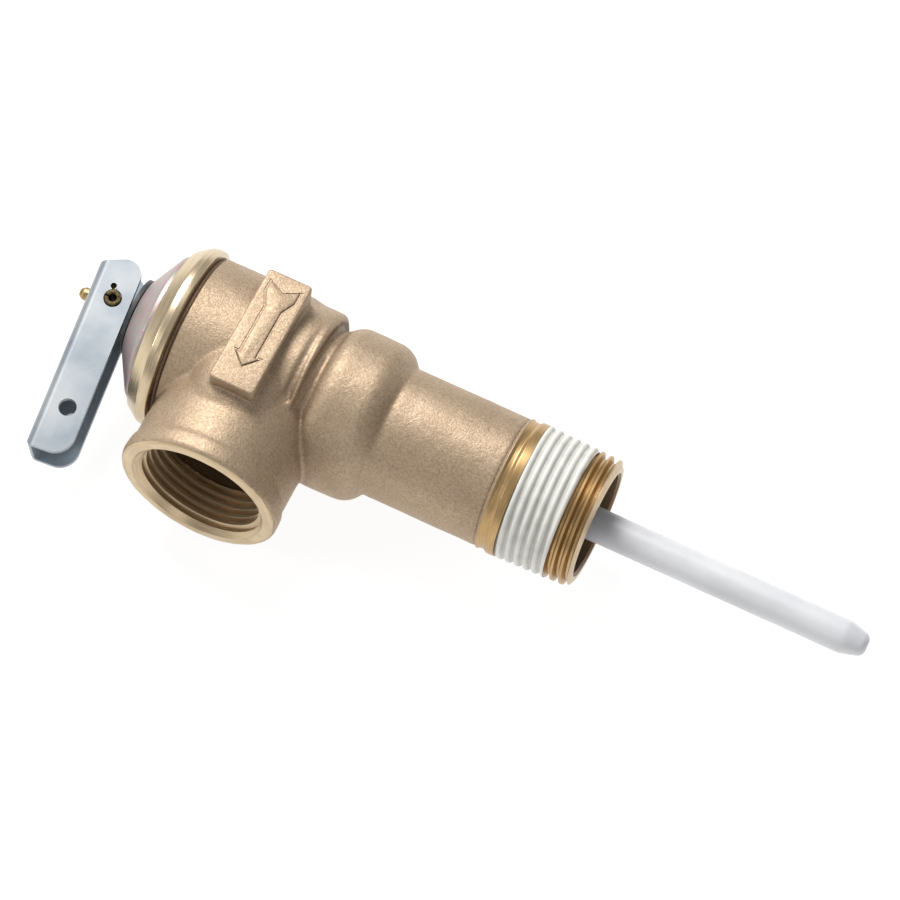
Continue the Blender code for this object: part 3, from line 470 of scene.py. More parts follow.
def machine(piece, operation, shape):
    # a Boolean with a shape that is used once and thrown away
    other = asObject("used", shape)
    boolean = piece.modifiers.new("machining", "BOOLEAN")
    boolean.operation = operation
    boolean.solver = "MANIFOLD"
    boolean.object = other
    applyModifiers(piece)
    bpy.data.objects.remove(other)


def finishPiece(piece, body, stands, finish, edge=0.0, smoothAngle=32):
    # rounds its edges, shades it, gives it a finish, and puts it on its body
    if edge:
        bevel = piece.modifiers.new("brokenEdges", "BEVEL")
        bevel.width = edge
        bevel.segments = 2
        bevel.limit_method = "ANGLE"
        bevel.angle_limit = math.radians(35)
        applyModifiers(piece)
    piece.data.shade_smooth()
    piece.data.set_sharp_from_angle(angle=math.radians(smoothAngle))
    if edge:  # keeps the flats flat between their rounded edges
        piece.modifiers.new("evenNormals", "WEIGHTED_NORMAL").keep_sharp = True
        applyModifiers(piece)
    if finish:
        piece.data.materials.clear()
        piece.data.materials.append(finishes[finish])
    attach(piece, body)
    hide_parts(*stands)
    return piece


# The cast body, with its threads, rim and bores

casting = {
    "voxel": 0.36 * mm,  # how finely the casting's skin is gridded before it is smoothed
    "smoothing": 4,  # passes; each one rounds the fillets a little more
    "lumps": 0.05 * mm,  # unevenness of the sand mould
    "upperRadius": 17.3 * mm,
    "shoulderRadius": 16.8 * mm,
    "creaseRadius": 14.9 * mm,
    "frontGroove": {"ring": 17.2 * mm, "size": 0.95 * mm, "height": 61.7 * mm, "offset": 0.9 * mm},
    "backGroove": {"ring": 15.5 * mm, "size": 0.9 * mm, "height": 59.2 * mm, "offset": -0.9 * mm},
    "crease": 59.0 * mm,
    "bulbBack": {"centre": (11.6 * mm, 54.2 * mm), "radius": 4.6 * mm},
    "bulbFront": {"centre": (10.8 * mm, 48.4 * mm), "radius": 5.3 * mm},
    "bulbBottom": 42.5 * mm,
    "shankRadius": 13.1 * mm,
    "shankBottom": 19.7 * mm,
    "neckRadius": 15.7 * mm,
    "collarRadius": 16.4 * mm,
    "collarLength": 4.6 * mm,
    "plateWidth": 9.2 * mm,
    "plateAboveOutlet": 0.8 * mm,
    "plateFront": 14.8 * mm,
    "plateBack": 11.2 * mm,
    "plateTop": 19.35 * mm,
    "plateCorner": 0.8 * mm,
    "padDrop": 1.5 * mm,  # the plate stands on a softer swelling of the casting
    "padMargin": -0.2 * mm,
    "swelling": (9.5 * mm, 13.0 * mm, 6.2 * mm),  # half sizes of the rounded rise under the plate's front
    "swellingAt": (-9.0 * mm, 11.0 * mm),
    "plateEdge": 0.35 * mm,
}
rim = {"bottom": 86.4 * mm, "radius": 18.4 * mm, "grooveRadius": 16.7 * mm, "lipRadius": 15.6 * mm}
pipeThread = {
    "pitch": 1.814 * mm,  # 14 threads to the inch
    "depth": 1.15 * mm,
    "taper": 1 / 32,  # radius gained along the thread
    "endRadius": 13.0 * mm,
    "length": 16.2 * mm,
}
bores = {
    "inlet": 10.3 * mm,
    "inletDepth": 35.3 * mm,
    "waterway": 9.4 * mm,
    "orifice": 6.5 * mm,
    "seat": 62.5 * mm,
    "chamber": 13.6 * mm,
    "outletMouth": 13.5 * mm,
    "outletThread": 13.3 * mm,
    "outletThreadLength": 9.6 * mm,
    "outletRelief": 12.0 * mm,  # a plain bore between the thread and the port
    "outletReliefLength": 3.6 * mm,
    "port": 9.0 * mm,
}
wide = 20 * mm  # past every radius of the body, for cutters
bodyTop = boxOf("valve_body")[1]
outletReach = -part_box("valve_body")[0].y


def castOutline():
    c = casting
    crease = c["crease"]
    return [
        (0, bodyTop - 2.5 * mm),
        (c["upperRadius"] - 1.0 * mm, bodyTop - 2.5 * mm, 0.5 * mm),
        (c["upperRadius"], rim["bottom"] + 0.5 * mm, 0.5 * mm),
        (c["upperRadius"], crease + 8.4 * mm, 4 * mm),
        (c["shoulderRadius"], crease + 6.2 * mm, 2 * mm),
        (c["shoulderRadius"], crease + 1.3 * mm, 0.8 * mm),
        (c["creaseRadius"], crease + 0.3 * mm, 0.1 * mm),
        *arcPoints(c["bulbBack"]["centre"], c["bulbBack"]["radius"], 58, 0, 8),
        *arcPoints(c["bulbFront"]["centre"], c["bulbFront"]["radius"], 0, -66, 9),
        (c["shankRadius"], c["bulbBottom"], 0.8 * mm),
        (c["shankRadius"], c["shankBottom"] - 0.2 * mm),
        (0, c["shankBottom"] - 0.2 * mm),
    ]


def outletOutline():
    c = casting
    neckTop = outletReach - c["collarLength"]
    return [
        (0, outletReach),
        (c["collarRadius"], outletReach, 1.1 * mm),
        (c["collarRadius"] - 0.2 * mm, neckTop + 1.1 * mm, 1.0 * mm),
        (c["neckRadius"], neckTop, 1.5 * mm),
        (c["neckRadius"], 0),
        (0, 0),
    ]


def plateBlock(margin, drop):
    c = casting
    bm = bmesh.new()
    bmesh.ops.create_cube(bm, size=1)
    depth = 9 * mm
    length = c["plateFront"] + c["plateBack"]
    bmesh.ops.scale(bm, verts=bm.verts, vec=(c["plateWidth"] + 2 * margin, length + 2 * margin, depth))
    middle = -(outletHeight + c["plateAboveOutlet"])
    place = (middle, (c["plateBack"] - c["plateFront"]) / 2, c["plateTop"] - drop - depth / 2)
    bmesh.ops.translate(bm, verts=bm.verts, vec=place)
    return bm


def plateSwelling():
    c = casting
    bm = bmesh.new()
    bmesh.ops.create_uvsphere(bm, u_segments=64, v_segments=32, radius=1)
    bmesh.ops.scale(bm, verts=bm.verts, vec=c["swelling"])
    along, up = c["swellingAt"]
    bmesh.ops.translate(bm, verts=bm.verts, vec=(-(outletHeight + c["plateAboveOutlet"]), along, up))
    return bm


def arrowPlate():
    c = casting
    bm = plateBlock(0, 0)
    corners = [e for e in bm.edges if abs(e.verts[0].co.z - e.verts[1].co.z) > mm]
    bmesh.ops.bevel(
        bm, geom=corners, offset=c["plateCorner"], affect="EDGES", segments=4, profile=0.5, material=-1
    )
    top = [e for e in bm.edges if min(v.co.z for v in e.verts) > c["plateTop"] - mm]
    bmesh.ops.bevel(bm, geom=top, offset=c["plateEdge"], affect="EDGES", segments=3, profile=0.5, material=-1)
    return bm


arrow = {  # half widths, then places along the plate
    "headHalf": 2.6 * mm,
    "shaftHalf": 1.6 * mm,
    "tailHalf": 3.0 * mm,
    "tip": -10.3 * mm,
    "barb": -7.6 * mm,
    "flare": 3.4 * mm,
    "tail": 6.3 * mm,
    "notch": 6.9 * mm,
    "end": 8.8 * mm,
    "moatWidth": 0.45 * mm,
    "moatDepth": 0.14 * mm,
    "proud": 0.2 * mm,
    "chamfer": 0.3 * mm,
}


def flowArrow(grow, bottom, top, chamfer=0.0):
    # it points out of the outlet; its outline, larger by grow, also cuts the moat round it
    a = arrow
    side = [
        (a["headHalf"] + grow, a["barb"] + grow),
        (a["shaftHalf"] + grow, a["barb"] + grow),
        (a["shaftHalf"] + grow, a["flare"]),
        (a["tailHalf"] + grow, a["tail"]),
        (a["tailHalf"] + grow, a["end"] + grow),
    ]
    mirrored = [(-x, y) for x, y in reversed(side)]
    outline = [(0, a["tip"] - grow)] + side + [(0, a["notch"] + grow)] + mirrored
    middle = -(outletHeight + casting["plateAboveOutlet"])
    bm = prism([(middle + x, y, bottom) for x, y in outline], (0, 0, top - bottom), Matrix.Identity(4))
    if chamfer:
        upper = [e for e in bm.edges if min(v.co.z for v in e.verts) > top - 0.01 * mm]
        bmesh.ops.bevel(bm, geom=upper, offset=chamfer, affect="EDGES", segments=2, profile=0.5, material=-1)
    return bm


def threadProfile(thread, root, crest):
    # one pitch, with a quarter of it flat at the root and a quarter flat at the crest
    shares = [(root, 0), (root, 0.12), (crest, 0.37), (crest, 0.63), (root, 0.88), (root, 1)]
    return [(radius, share * thread["pitch"]) for radius, share in shares]


def threadedEnd():
    # the inlet thread and its run-out, turned on the end of the shank
    t = pipeThread
    profile = threadProfile(t, t["endRadius"] - t["depth"], t["endRadius"])
    turns = int(t["length"] / t["pitch"]) + 3
    end = asObject("threadedEnd", helixSolid(profile, -1.2 * t["pitch"], turns, t["taper"]))
    top = t["endRadius"] + t["length"] * t["taper"]
    root = t["endRadius"] - t["depth"]
    blank = [
        (0, t["length"] + 0.1 * mm),
        (top + mm, t["length"] + 0.1 * mm),
        (top + mm, 1.4 * mm),
        (root + 0.1 * mm, 0),
        (0, 0),
    ]
    machine(end, "INTERSECT", spunShape(blank))
    shank = casting["shankBottom"]
    groove = top - 0.45 * mm  # a shallow turned groove runs round the run-out
    pasteTop = boxOf("thread_sealant")[1] + 0.02 * mm
    collar = [
        (0, shank + 0.2 * mm),
        (casting["shankRadius"] - 0.3 * mm, shank + 0.2 * mm),
        (top - 0.1 * mm, shank - 0.5 * mm, 0.2 * mm),
        (groove, shank - 1.1 * mm, 0.3 * mm),
        (groove, shank - 1.9 * mm, 0.3 * mm),
        (top, shank - 2.6 * mm, 0.3 * mm),
        (top, pasteTop),
        (0, pasteTop),
    ]
    machine(end, "UNION", spunShape(collar))
    return end


def bandSeat():  # takes the crests off where the sealing paste's band carries them
    low, high, _ = boxOf("thread_sealant")
    low, high = low - 0.02 * mm, high + 0.02 * mm
    root = pipeThread["endRadius"] - pipeThread["depth"]
    taper = pipeThread["taper"]
    outline = [(wide, high), (wide, low), (root + low * taper, low), (root + high * taper, high)]
    return spunShape(outline, ring=True)


def rimBand():
    return spunShape(
        [
            (0, bodyTop),
            (rim["lipRadius"] + 0.8 * mm, bodyTop, 0.2 * mm),
            (rim["radius"] - 0.2 * mm, bodyTop - 2.5 * mm, 0.9 * mm),
            (rim["radius"], rim["bottom"] + 1.2 * mm, 0.3 * mm),
            (rim["radius"] - 0.1 * mm, rim["bottom"] + 0.1 * mm, 0.25 * mm),
            (rim["grooveRadius"] + 0.5 * mm, rim["bottom"], 0.1 * mm),
            (rim["grooveRadius"], rim["bottom"] - 0.1 * mm),
            (0, rim["bottom"] - 0.1 * mm),
        ],
        steps=128,
    )


def rimGroove():
    deep = rim["grooveRadius"]
    return spunShape(
        [
            (wide, rim["bottom"]),
            (wide, rim["bottom"] - 1.3 * mm),
            (casting["upperRadius"] + 0.1 * mm, rim["bottom"] - 1.2 * mm),
            (deep, rim["bottom"] - 0.6 * mm),
            (deep, rim["bottom"]),
        ],
        steps=128,
        ring=True,
    )


def mainBore():
    b = bores
    over = 2 * mm
    ledge = boxOf("bonnet_gasket")[0] - 0.2 * mm
    lipBottom = bodyTop - 1.1 * mm
    flange = boxOf("bonnet")[2] + 0.2 * mm
    ringLow, ringHigh, ringRadius = boxOf("carrier_ring")
    groove = ringRadius + 0.2 * mm
    deck = b["seat"] - 1.5 * mm
    lipOuter = b["orifice"] + 1.5 * mm
    return spunShape(
        [
            (0, bodyTop + over),
            (rim["lipRadius"] + 0.6 * mm, bodyTop + over),
            (rim["lipRadius"] + 0.6 * mm, bodyTop),
            (rim["lipRadius"], bodyTop - 0.5 * mm, 0.3 * mm),
            (rim["lipRadius"], lipBottom),
            (flange, lipBottom),
            (flange, ledge),
            (b["chamber"], ledge),
            (b["chamber"], deck, 2.0 * mm),
            (lipOuter + 0.4 * mm, deck, 0.3 * mm),
            (lipOuter, b["seat"], 0.15 * mm),
            (b["orifice"], b["seat"], 0.2 * mm),
            (b["orifice"], casting["crease"] - 3 * mm),
            (b["waterway"], casting["crease"] - 5 * mm),
            (b["waterway"], b["inletDepth"]),
            (b["inlet"], b["inletDepth"]),
            (b["inlet"], ringHigh + 0.2 * mm),
            (groove, ringHigh + 0.2 * mm),
            (groove, ringLow - 0.2 * mm),
            (b["inlet"], ringLow - 0.2 * mm),
            (b["inlet"], 0.5 * mm),
            (b["inlet"] + 0.6 * mm, -0.1 * mm),
            (b["inlet"] + 0.6 * mm, -over),
            (0, -over),
        ]
    )


def outletBore():
    # cuts the female thread: a screw, trimmed, with a countersink at the mouth and the port behind
    b = bores
    t = pipeThread
    mouth = 1.0 * mm
    deep = outletReach - b["outletThreadLength"]
    rootHere = b["outletThread"] - outletReach * t["taper"]
    profile = threadProfile(t, rootHere - t["depth"], rootHere)
    turns = int(b["outletThreadLength"] / t["pitch"]) + 4
    screw = helixSolid(profile, deep - 1.6 * t["pitch"], turns, t["taper"], place=outletUp)
    cutter = asObject("outletBore", screw)
    start = outletReach - 0.5 * mm
    blank = [(0, start), (wide, start), (wide, deep), (0, deep)]
    machine(cutter, "INTERSECT", spunShape(blank, place=outletUp))
    relief = b["outletThread"] - t["depth"] - b["outletThreadLength"] * t["taper"]
    plug = [
        (0, outletReach + mouth),
        (b["outletMouth"] + 0.3 * mm, outletReach + mouth),
        (b["outletMouth"] + 0.3 * mm, outletReach),
        (b["outletMouth"], outletReach - 0.3 * mm),
        (relief - 0.2 * mm, outletReach - 2.2 * mouth),
        (relief - 0.2 * mm, deep),
        (b["outletRelief"], deep - 0.5 * mm),
        (b["outletRelief"], deep - b["outletReliefLength"]),
        (b["port"], deep - b["outletReliefLength"] - 0.6 * mm),
        (b["port"], 0),
        (0, 0),
    ]
    machine(cutter, "UNION", spunShape(plug, place=outletUp))
    return cutter


def takeMesh(piece):  # an object's mesh as a bmesh, and the object is gone
    bm = bmesh.new()
    bm.from_mesh(piece.data)
    bpy.data.objects.remove(piece)
    return bm


def ringCut(groove):
    # the ring lies off the valve's axis, so the groove is deep on one side and fades on the other
    outline = arcPoints((groove["ring"], groove["height"]), groove["size"], 0, 345, 23)
    place = upright @ Matrix.Translation((0, groove["offset"], 0))
    return spunShape(outline, steps=128, ring=True, place=place)


def castSkin():
    # rough shapes are fused on a fine grid, then smoothed, so that they meet in fillets
    turned = asObject("turned", spunShape(castOutline()))
    for cut in ("frontGroove", "backGroove"):
        machine(turned, "DIFFERENCE", ringCut(casting[cut]))
    rough = takeMesh(turned)
    mesh = bpy.data.meshes.new("rough")
    pad = plateBlock(casting["padMargin"], casting["padDrop"])
    for part in (spunShape(outletOutline(), place=outletUp), pad, plateSwelling()):
        part.to_mesh(mesh)
        part.free()
        rough.from_mesh(mesh)
    body = asObject("valveBody", rough)
    grid = body.modifiers.new("sandMould", "REMESH")
    grid.mode = "VOXEL"
    grid.voxel_size = casting["voxel"]
    applyModifiers(body)
    bm = bmesh.new()
    bm.from_mesh(body.data)
    axes = {"use_axis_x": True, "use_axis_y": True, "use_axis_z": True}
    for _ in range(casting["smoothing"]):
        bmesh.ops.smooth_vert(bm, verts=bm.verts, factor=0.5, **axes)
    bm.normal_update()
    for vert in bm.verts:
        lump = noise.noise(vert.co / (5 * mm)) + 0.6 * noise.noise(vert.co / (1.7 * mm))
        vert.co += vert.normal * lump * casting["lumps"]
    bm.to_mesh(body.data)
    bm.free()
    return body


bodyFinishes = ["castSkin", "lathed", "lathedOutlet", "boreSkin", "lathedRim"]


def bodyFinish(centre):
    # which finish a face of the body has, from where it is: turned, bored or as cast
    b = bores
    height = -centre.x
    radius = math.hypot(centre.y, centre.z)
    fromOutlet = math.hypot(centre.x + outletHeight, centre.z)
    inOutlet = centre.y < -b["port"] and fromOutlet < b["outletMouth"] + 0.5 * mm
    if inOutlet and radius > b["chamber"]:
        return "lathedOutlet" if centre.y < b["outletThreadLength"] - outletReach else "boreSkin"
    if centre.y < -outletReach + 0.5 * mm and fromOutlet < casting["collarRadius"] - 0.5 * mm:
        return "lathedOutlet"
    if height < casting["shankBottom"] - 0.6 * mm and radius > b["inlet"] + 0.8 * mm:
        return "lathed" if height > 1.0 * mm else "lathedOutlet"  # the end ring is cut finer
    if height > rim["bottom"] and radius > rim["lipRadius"] - 0.3 * mm:
        return "lathedRim"
    inChamber = radius < b["chamber"] + 0.3 * mm and height > b["seat"] - 3 * mm
    return "boreSkin" if radius < b["inlet"] + 1.5 * mm or inChamber else "castSkin"


def buildBody():
    body = castSkin()
    print("body: cast skin has", len(body.data.polygons), "faces")
    machine(body, "UNION", arrowPlate())
    a = arrow
    face = casting["plateTop"]
    machine(body, "DIFFERENCE", flowArrow(a["moatWidth"], face - a["moatDepth"], face + mm))
    machine(body, "UNION", flowArrow(0, face - 0.6 * mm, face + a["proud"], a["chamfer"]))
    machine(body, "DIFFERENCE", rimGroove())
    machine(body, "UNION", rimBand())
    machine(body, "UNION", takeMesh(threadedEnd()))
    machine(body, "DIFFERENCE", bandSeat())
    machine(body, "DIFFERENCE", mainBore())
    machine(body, "DIFFERENCE", takeMesh(outletBore()))
    body.data.materials.clear()
    for name in bodyFinishes:
        body.data.materials.append(finishes[name])
    for face in body.data.polygons:
        face.material_index = bodyFinishes.index(bodyFinish(face.center))
    finishPiece(body, "housing", ["valve_body"], None)
    triangles = sum(len(face.vertices) - 2 for face in body.data.polygons)
    print("body: machined, with", triangles, "triangles")


buildBody()

# Sealing paste on the inlet thread

pasteBand = {"proud": 0.12 * mm, "grooveDepth": 0.62 * mm, "ripple": 0.05 * mm}


def buildPaste():
    low, high, _ = boxOf("thread_sealant")
    t = pipeThread
    crest = t["endRadius"] + pasteBand["proud"]
    waves = 12
    profile = []
    for step in range(waves + 1):
        dip = (0.5 + 0.5 * math.cos(math.tau * step / waves)) ** 1.5
        profile.append((crest - pasteBand["grooveDepth"] * dip, t["pitch"] * step / waves))
    turns = int(high / t["pitch"]) + 3
    band = asObject("threadPaste", helixSolid(profile, -1.2 * t["pitch"], turns, t["taper"]))
    inner = t["endRadius"] - t["depth"] + 0.2 * mm
    blank = spunShape(
        [
            (16 * mm, high),
            (16 * mm, low),
            (inner + low * t["taper"], low),
            (inner + high * t["taper"], high),
        ],
        ring=True,
    )
    machine(band, "INTERSECT", blank)
    for vert in band.data.vertices:
        ripple = noise.noise(vert.co / (1.5 * mm)) * pasteBand["ripple"]
        out = Vector((0, vert.co.y, vert.co.z)).normalized()
        vert.co += out * ripple
    finishPiece(band, "housing", ["thread_sealant"], "paste", smoothAngle=50)


buildPaste()
print("paste: band is on the thread")

# Bonnet and washer

bonnetShape = {
    "sheet": 1.4 * mm,
    "shoulder": 3.9 * mm,
    "topRadius": 7.9 * mm,
    "wallRadius": 15.0 * mm,
    "hole": 4.25 * mm,
}
washerShape = {"hole": 2.95 * mm}


def buildBonnet():
    low, high, flange = boxOf("bonnet")
    b = bonnetShape
    hole = b["hole"]
    shoulder = low + b["shoulder"]
    bm = spunShape(
        [
            (hole, high),
            (b["topRadius"], high, 0.8 * mm),
            (b["wallRadius"], shoulder, 1.2 * mm),
            (b["wallRadius"], low + b["sheet"]),
            (flange, low + b["sheet"], 0.2 * mm),
            (flange, low, 0.2 * mm),
            (b["wallRadius"] - b["sheet"], low, 0.3 * mm),
            (b["wallRadius"] - b["sheet"], shoulder - 1.0 * mm, 1.0 * mm),
            (b["topRadius"] - 0.3 * mm, high - b["sheet"], 0.6 * mm),
            (hole, high - b["sheet"]),
        ],
        steps=128,
        ring=True,
    )
    finishPiece(asObject("bonnet", bm), "housing", ["bonnet"], "bonnetZinc")


def buildWasher():
    low, high, radius = boxOf("lever_washer")
    bm = spunShape(
        [
            (radius, high, 0.25 * mm),
            (radius, low, 0.25 * mm),
            (washerShape["hole"], low, 0.1 * mm),
            (washerShape["hole"], high, 0.15 * mm),
        ],
        steps=96,
        ring=True,
    )
    finishPiece(asObject("leverWasher", bm), "housing", ["lever_washer"], "washerBlack")


buildBonnet()
buildWasher()
print("bonnet: dome and washer are on")

# Stem, pin and lever

stemShape = {"radius": 2.75 * mm, "tip": 1.3 * mm, "shoulderAbovePin": 2.4 * mm, "hole": 1.8 * mm}
leverShape = {
    "sheet": 1.2 * mm,
    "width": 10.6 * mm,
    "below": 3.6 * mm,
    "above": 5.1 * mm,
    "bend": 1.8 * mm,
    "reach": 32.6 * mm,
    "nose": 8.3 * mm,
    "noseRadius": 3.2 * mm,
    "endRadius": 4.0 * mm,
    "endHole": 1.75 * mm,
    "endHoleAt": 23.3 * mm,
    "notch": 0.6 * mm,
    "notchAt": 2.5 * mm,
    "notchTurn": 17,  # degrees from the lever's length towards its fold
    "notchDepth": 0.9 * mm,
    "slotHalf": 1.9 * mm,
    "slotRun": 7.4 * mm,
    "edge": 0.16 * mm,
}
pinShape = {"radius": 1.6 * mm, "bore": 0.8 * mm, "slot": 0.5 * mm, "proud": 0.25 * mm, "edge": 0.12 * mm}


def drill(radius, half, place, steps=48):  # a cutter along local X
    bm = bmesh.new()
    size = {"radius1": radius, "radius2": radius, "depth": 2 * half}
    turn = place @ Matrix.Rotation(math.pi / 2, 4, "Y")
    bmesh.ops.create_cone(bm, cap_ends=True, segments=steps, matrix=turn, **size)
    return bm


def buildStem():
    s = stemShape
    low, high, _ = boxOf("stem")
    clipLow, clipHigh, _ = boxOf("stem_clip")
    shoulder = pinHeight + s["shoulderAbovePin"]
    gap = 0.2 * mm
    groove = s["radius"] - 0.9 * mm
    bm = spunShape(
        [
            (0, high),
            (s["tip"] * 0.55, high - 0.02 * mm, 0.6 * mm),
            (s["tip"], high - 0.9 * mm, 0.8 * mm),
            (s["tip"], shoulder, 0.3 * mm),
            (s["radius"], shoulder - 0.1 * mm, 0.4 * mm),
            (s["radius"], clipHigh + gap),
            (groove, clipHigh + gap),
            (groove, clipLow - gap),
            (s["radius"], clipLow - gap),
            (s["radius"], low, 0.3 * mm),
            (0, low),
        ],
        steps=64,
        place=stemUp,
    )
    stem = asObject("stem", bm)
    machine(stem, "DIFFERENCE", drill(s["hole"], 2 * s["radius"], pinUp))
    finishPiece(stem, "spindle", ["stem"], "stemBrass")


def buildPin():
    p = pinShape
    half = leverShape["width"] / 2 + p["proud"]
    halfSlot = math.asin(p["slot"] / 2 / p["radius"])
    bm = bmesh.new()
    corners = [(p["bore"], -half), (p["radius"], -half), (p["radius"], half), (p["bore"], half)]
    start = Matrix.Rotation(halfSlot, 4, "Z")
    verts = [bm.verts.new(start @ Vector((radius, 0, height))) for radius, height in corners]
    edges = [bm.edges.new((verts[i], verts[(i + 1) % 4])) for i in range(4)]
    bmesh.ops.spin(bm, geom=verts + edges, axis=(0, 0, 1), angle=math.tau - 2 * halfSlot, steps=48)
    bmesh.ops.holes_fill(bm, edges=[e for e in bm.edges if e.is_boundary], sides=4)
    bmesh.ops.recalc_face_normals(bm, faces=bm.faces)
    # the seam of the rolled sheet faces up, towards the lever's fold
    bmesh.ops.transform(bm, matrix=pinUp @ Matrix.Rotation(-math.pi / 2, 4, "Y"), verts=bm.verts)
    pin = asObject("leverPin", bm)
    finishPiece(pin, "spindle", ["lever_pin"], "pinBrass", edge=p["edge"])


def leverSide():
    d = leverShape
    low, high = -d["below"], d["above"]
    outline = arcPoints((d["reach"] - d["endRadius"], low + d["endRadius"]), d["endRadius"], -90, 0, 14)
    outline += arcPoints((d["reach"] - 1.2 * mm, high - 1.2 * mm), 1.2 * mm, 0, 90, 6)
    outline += arcPoints((-d["nose"] + 2.3 * mm, high - 0.5 * mm), 0.5 * mm, 90, 160, 3)
    outline += arcPoints((-d["nose"] + d["noseRadius"], low + d["noseRadius"]), d["noseRadius"], 165, 270, 14)
    return outline


def channelSection():
    d = leverShape
    low, high = -d["below"] - mm, d["above"]
    outer = d["width"] / 2
    inner = outer - d["sheet"]
    inside = d["bend"] - d["sheet"]
    corner = (outer - d["bend"], high - d["bend"])
    over = arcPoints(corner, d["bend"], 0, 90, 10)
    under = arcPoints(corner, inside, 90, 0, 8)
    overLeft = [(-x, z) for x, z in reversed(over)]
    underLeft = [(-x, z) for x, z in reversed(under)]
    left = overLeft + [(-outer, low), (-inner, low)] + underLeft
    return [(outer, low)] + over + left + under + [(inner, low)]


def buildLever():
    d = leverShape
    length = d["reach"] + d["nose"]
    through = d["width"]
    ends = [(x, -length, z) for x, z in channelSection()]
    channel = asObject("lever", prism(ends, (0, 2 * length, 0), leverUp))
    outline = [(-through, -reach, z) for reach, z in leverSide()]
    machine(channel, "INTERSECT", prism(outline, (2 * through, 0, 0), leverUp))
    machine(channel, "DIFFERENCE", drill(stemShape["hole"], through, leverUp))
    endHoleUp = leverUp @ Matrix.Translation((0, -d["endHoleAt"], 0))
    machine(channel, "DIFFERENCE", drill(d["endHole"], through, endHoleUp))
    # a blind notch over the pin hole in each arm, and the narrow cut that joins them
    notchUp = leverUp @ Matrix.Rotation(math.radians(d["notchTurn"]), 4, "X")
    at = d["notchAt"]
    half = d["notch"] / 2
    deep = d["notchDepth"]
    for side in (-1, 1):
        arm = notchUp @ Matrix.Translation((side * d["width"] / 2, 0, 0))
        machine(channel, "DIFFERENCE", drill(d["notch"], deep, arm @ Matrix.Translation((0, at, 0)), 20))
        cut = [(-deep, 0.8 * mm, -half), (-deep, at, -half), (-deep, at, half), (-deep, 0.8 * mm, half)]
        machine(channel, "DIFFERENCE", prism(cut, (2 * deep, 0, 0), arm))
    run = d["slotRun"] - d["slotHalf"]
    slot = arcPoints((0, 0), d["slotHalf"], 0, 180, 16) + arcPoints((0, -run), d["slotHalf"], 180, 360, 16)
    top = d["above"] + mm
    machine(channel, "DIFFERENCE", prism([(x, y, top) for x, y in slot], (0, 0, -3 * mm), leverUp))
    finishPiece(channel, "test_lever", ["lever"], "zinc", edge=d["edge"])
    # painted shade: a slate, less metallic copy of the zinc inside the fold, and the dark pin brass on the
    # notch walls
    shadedFold, shadedNotch = 1, 2
    channel.data.materials.append(finishes["zincInside"])
    channel.data.materials.append(finishes["pinBrass"])
    toLever = leverUp.inverted()
    inner = d["width"] / 2 - d["sheet"] + 0.05 * mm
    outer = d["width"] / 2 - 0.2 * mm
    notch = toLever @ notchUp @ Vector((0, at, 0))
    for face in channel.data.polygons:
        centre = toLever @ face.center
        across = abs(centre.x)
        # painted shade: the notch walls get the dark pin brass
        if inner < across < outer and math.dist(centre.yz, notch.yz) < d["notch"] + 0.2 * mm:
            face.material_index = shadedNotch
        elif across < inner and centre.z < d["above"] - d["sheet"] + 0.05 * mm:
            face.material_index = shadedFold


buildStem()
buildPin()
buildLever()
print("lever: stem, pin and lever are made")

# Probe

probeShape = {"wall": 0.35 * mm, "tipLength": 4.6 * mm, "tipRadius": 2.1 * mm}


def buildProbe():
    p = probeShape
    low, high, radius = boxOf("probe_coating")
    cone = low + p["tipLength"]
    wall = p["wall"]
    bm = spunShape(
        [
            (0, low + wall),
            (p["tipRadius"] - wall, low + wall, 0.3 * mm),
            (radius - wall, cone, 1.0 * mm),
            (radius - wall, high),
            (radius, high, 0.1 * mm),
            (radius, cone, 4.0 * mm),
            (p["tipRadius"], low, 1.7 * mm),
            (0, low),
        ],
        steps=64,
    )
    finishPiece(asObject("probeCoating", bm), "housing", ["probe_coating"], "coat")


buildProbe()
print("probe: coated tube is made")

# Spring: wound in two parts, an upper and a lower

springShape = {"wire": 0.95 * mm, "radius": 6.6 * mm, "turns": 6, "split": 3.75, "gap": 0.2 * mm}


def coilHeight(turn):  # the first and last turns lie nearly flat
    w = springShape
    low, high, _ = boxOf("spring")
    flat = 2 * w["wire"] + w["gap"]
    inner = min(max(turn - 1, 0), w["turns"] - 2) / (w["turns"] - 2)
    ends = min(turn, 1) + max(turn - w["turns"] + 1, 0)
    rise = high - low - 2 * w["wire"] - 2 * flat
    return low + w["wire"] + ends * flat + inner * rise


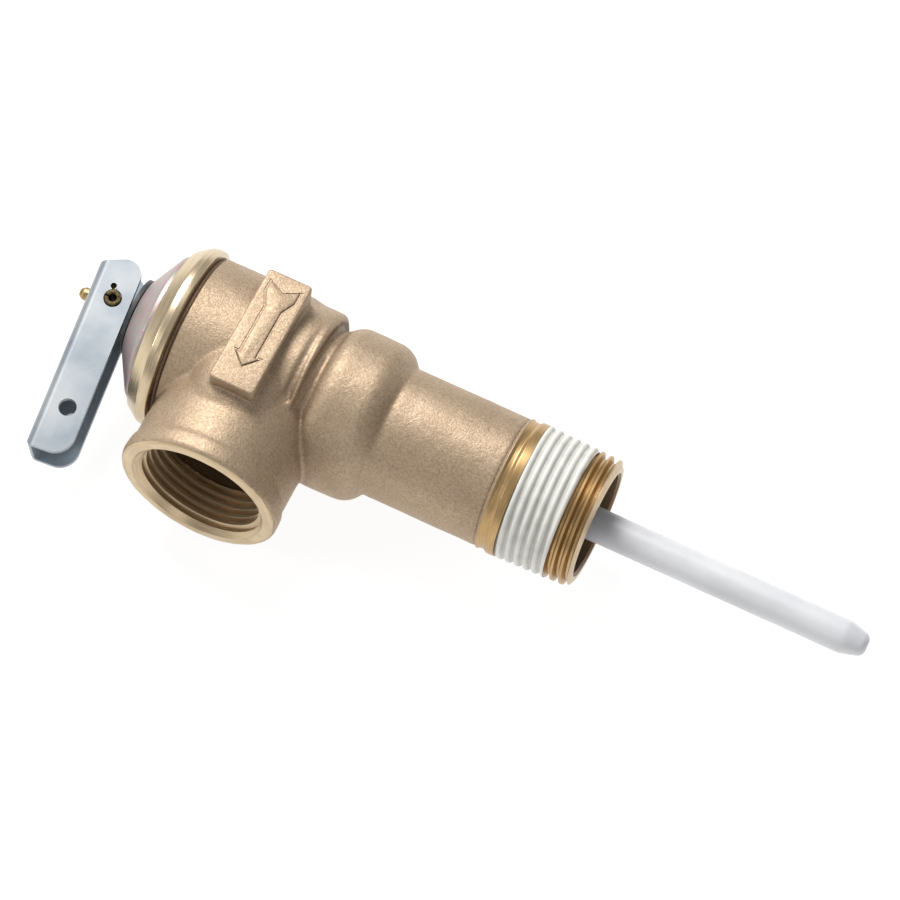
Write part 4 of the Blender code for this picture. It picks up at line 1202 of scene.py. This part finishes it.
def buildCoil(name, first, last):
    w = springShape
    steps = 40
    sides = 14
    bm = bmesh.new()
    loops = []
    for step in range(round((last - first) * steps) + 1):
        turn = first + step / steps
        out = Matrix.Translation((w["radius"], 0, coilHeight(turn)))
        place = Matrix.Rotation(math.tau * turn, 4, "Z") @ out @ Matrix.Rotation(math.pi / 2, 4, "X")
        made = bmesh.ops.create_circle(bm, segments=sides, radius=w["wire"], matrix=place)["verts"]
        loops.append([edge for edge in bm.edges if edge.verts[0] in made and edge.verts[1] in made])
    for one, two in zip(loops, loops[1:]):
        bmesh.ops.bridge_loops(bm, edges=one + two)
    bmesh.ops.holes_fill(bm, edges=[e for e in bm.edges if e.is_boundary], sides=sides)
    bmesh.ops.recalc_face_normals(bm, faces=bm.faces)
    bmesh.ops.transform(bm, matrix=upright, verts=bm.verts)
    coil = asObject(name, bm)
    coil.data.shade_smooth()
    coil.data.set_sharp_from_angle(angle=math.radians(40))
    coil.data.materials.append(finishes["springWire"])
    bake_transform(coil)
    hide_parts("spring")


def buildSpring():
    w = springShape
    buildCoil("springUpper", w["split"], w["turns"])
    buildCoil("springLower", 0, w["split"])


buildSpring()
print("spring: both parts are wound")

# Nodes that keep their shape get rounded edges and a finish

keptFinishes = {
    "bonnet_gasket": "fibre",
    "stem_bushing": "brass",
    "upper_spring_seat": "zinc",
    "probe_tube": "copper",
    "wax_charge": "wax",
    "head_seal": "rubber",
    "element_head": "brass",
    "probe_carrier": "brass",
    "carrier_ring": "springWire",
    "push_rod": "springWire",
    "disc_holder": "brass",
    "seat_disc": "silicone",
    "disc_retainer": "springWire",
    "thrust_button": "brass",
    "stem_clip": "springWire",
}
for node, finish in keptFinishes.items():
    piece = frame["nodes"][node]
    piece.data.materials.clear()
    piece.data.materials.append(finishes[finish])
    weld = piece.modifiers.new("weld", "WELD")
    weld.merge_threshold = 0.00001
    bevel = piece.modifiers.new("brokenEdges", "BEVEL")
    bevel.width = 0.12 * mm
    bevel.segments = 2
    bevel.limit_method = "ANGLE"
    bevel.angle_limit = math.radians(40)
print("inner pieces: finished")

print("scene: done")
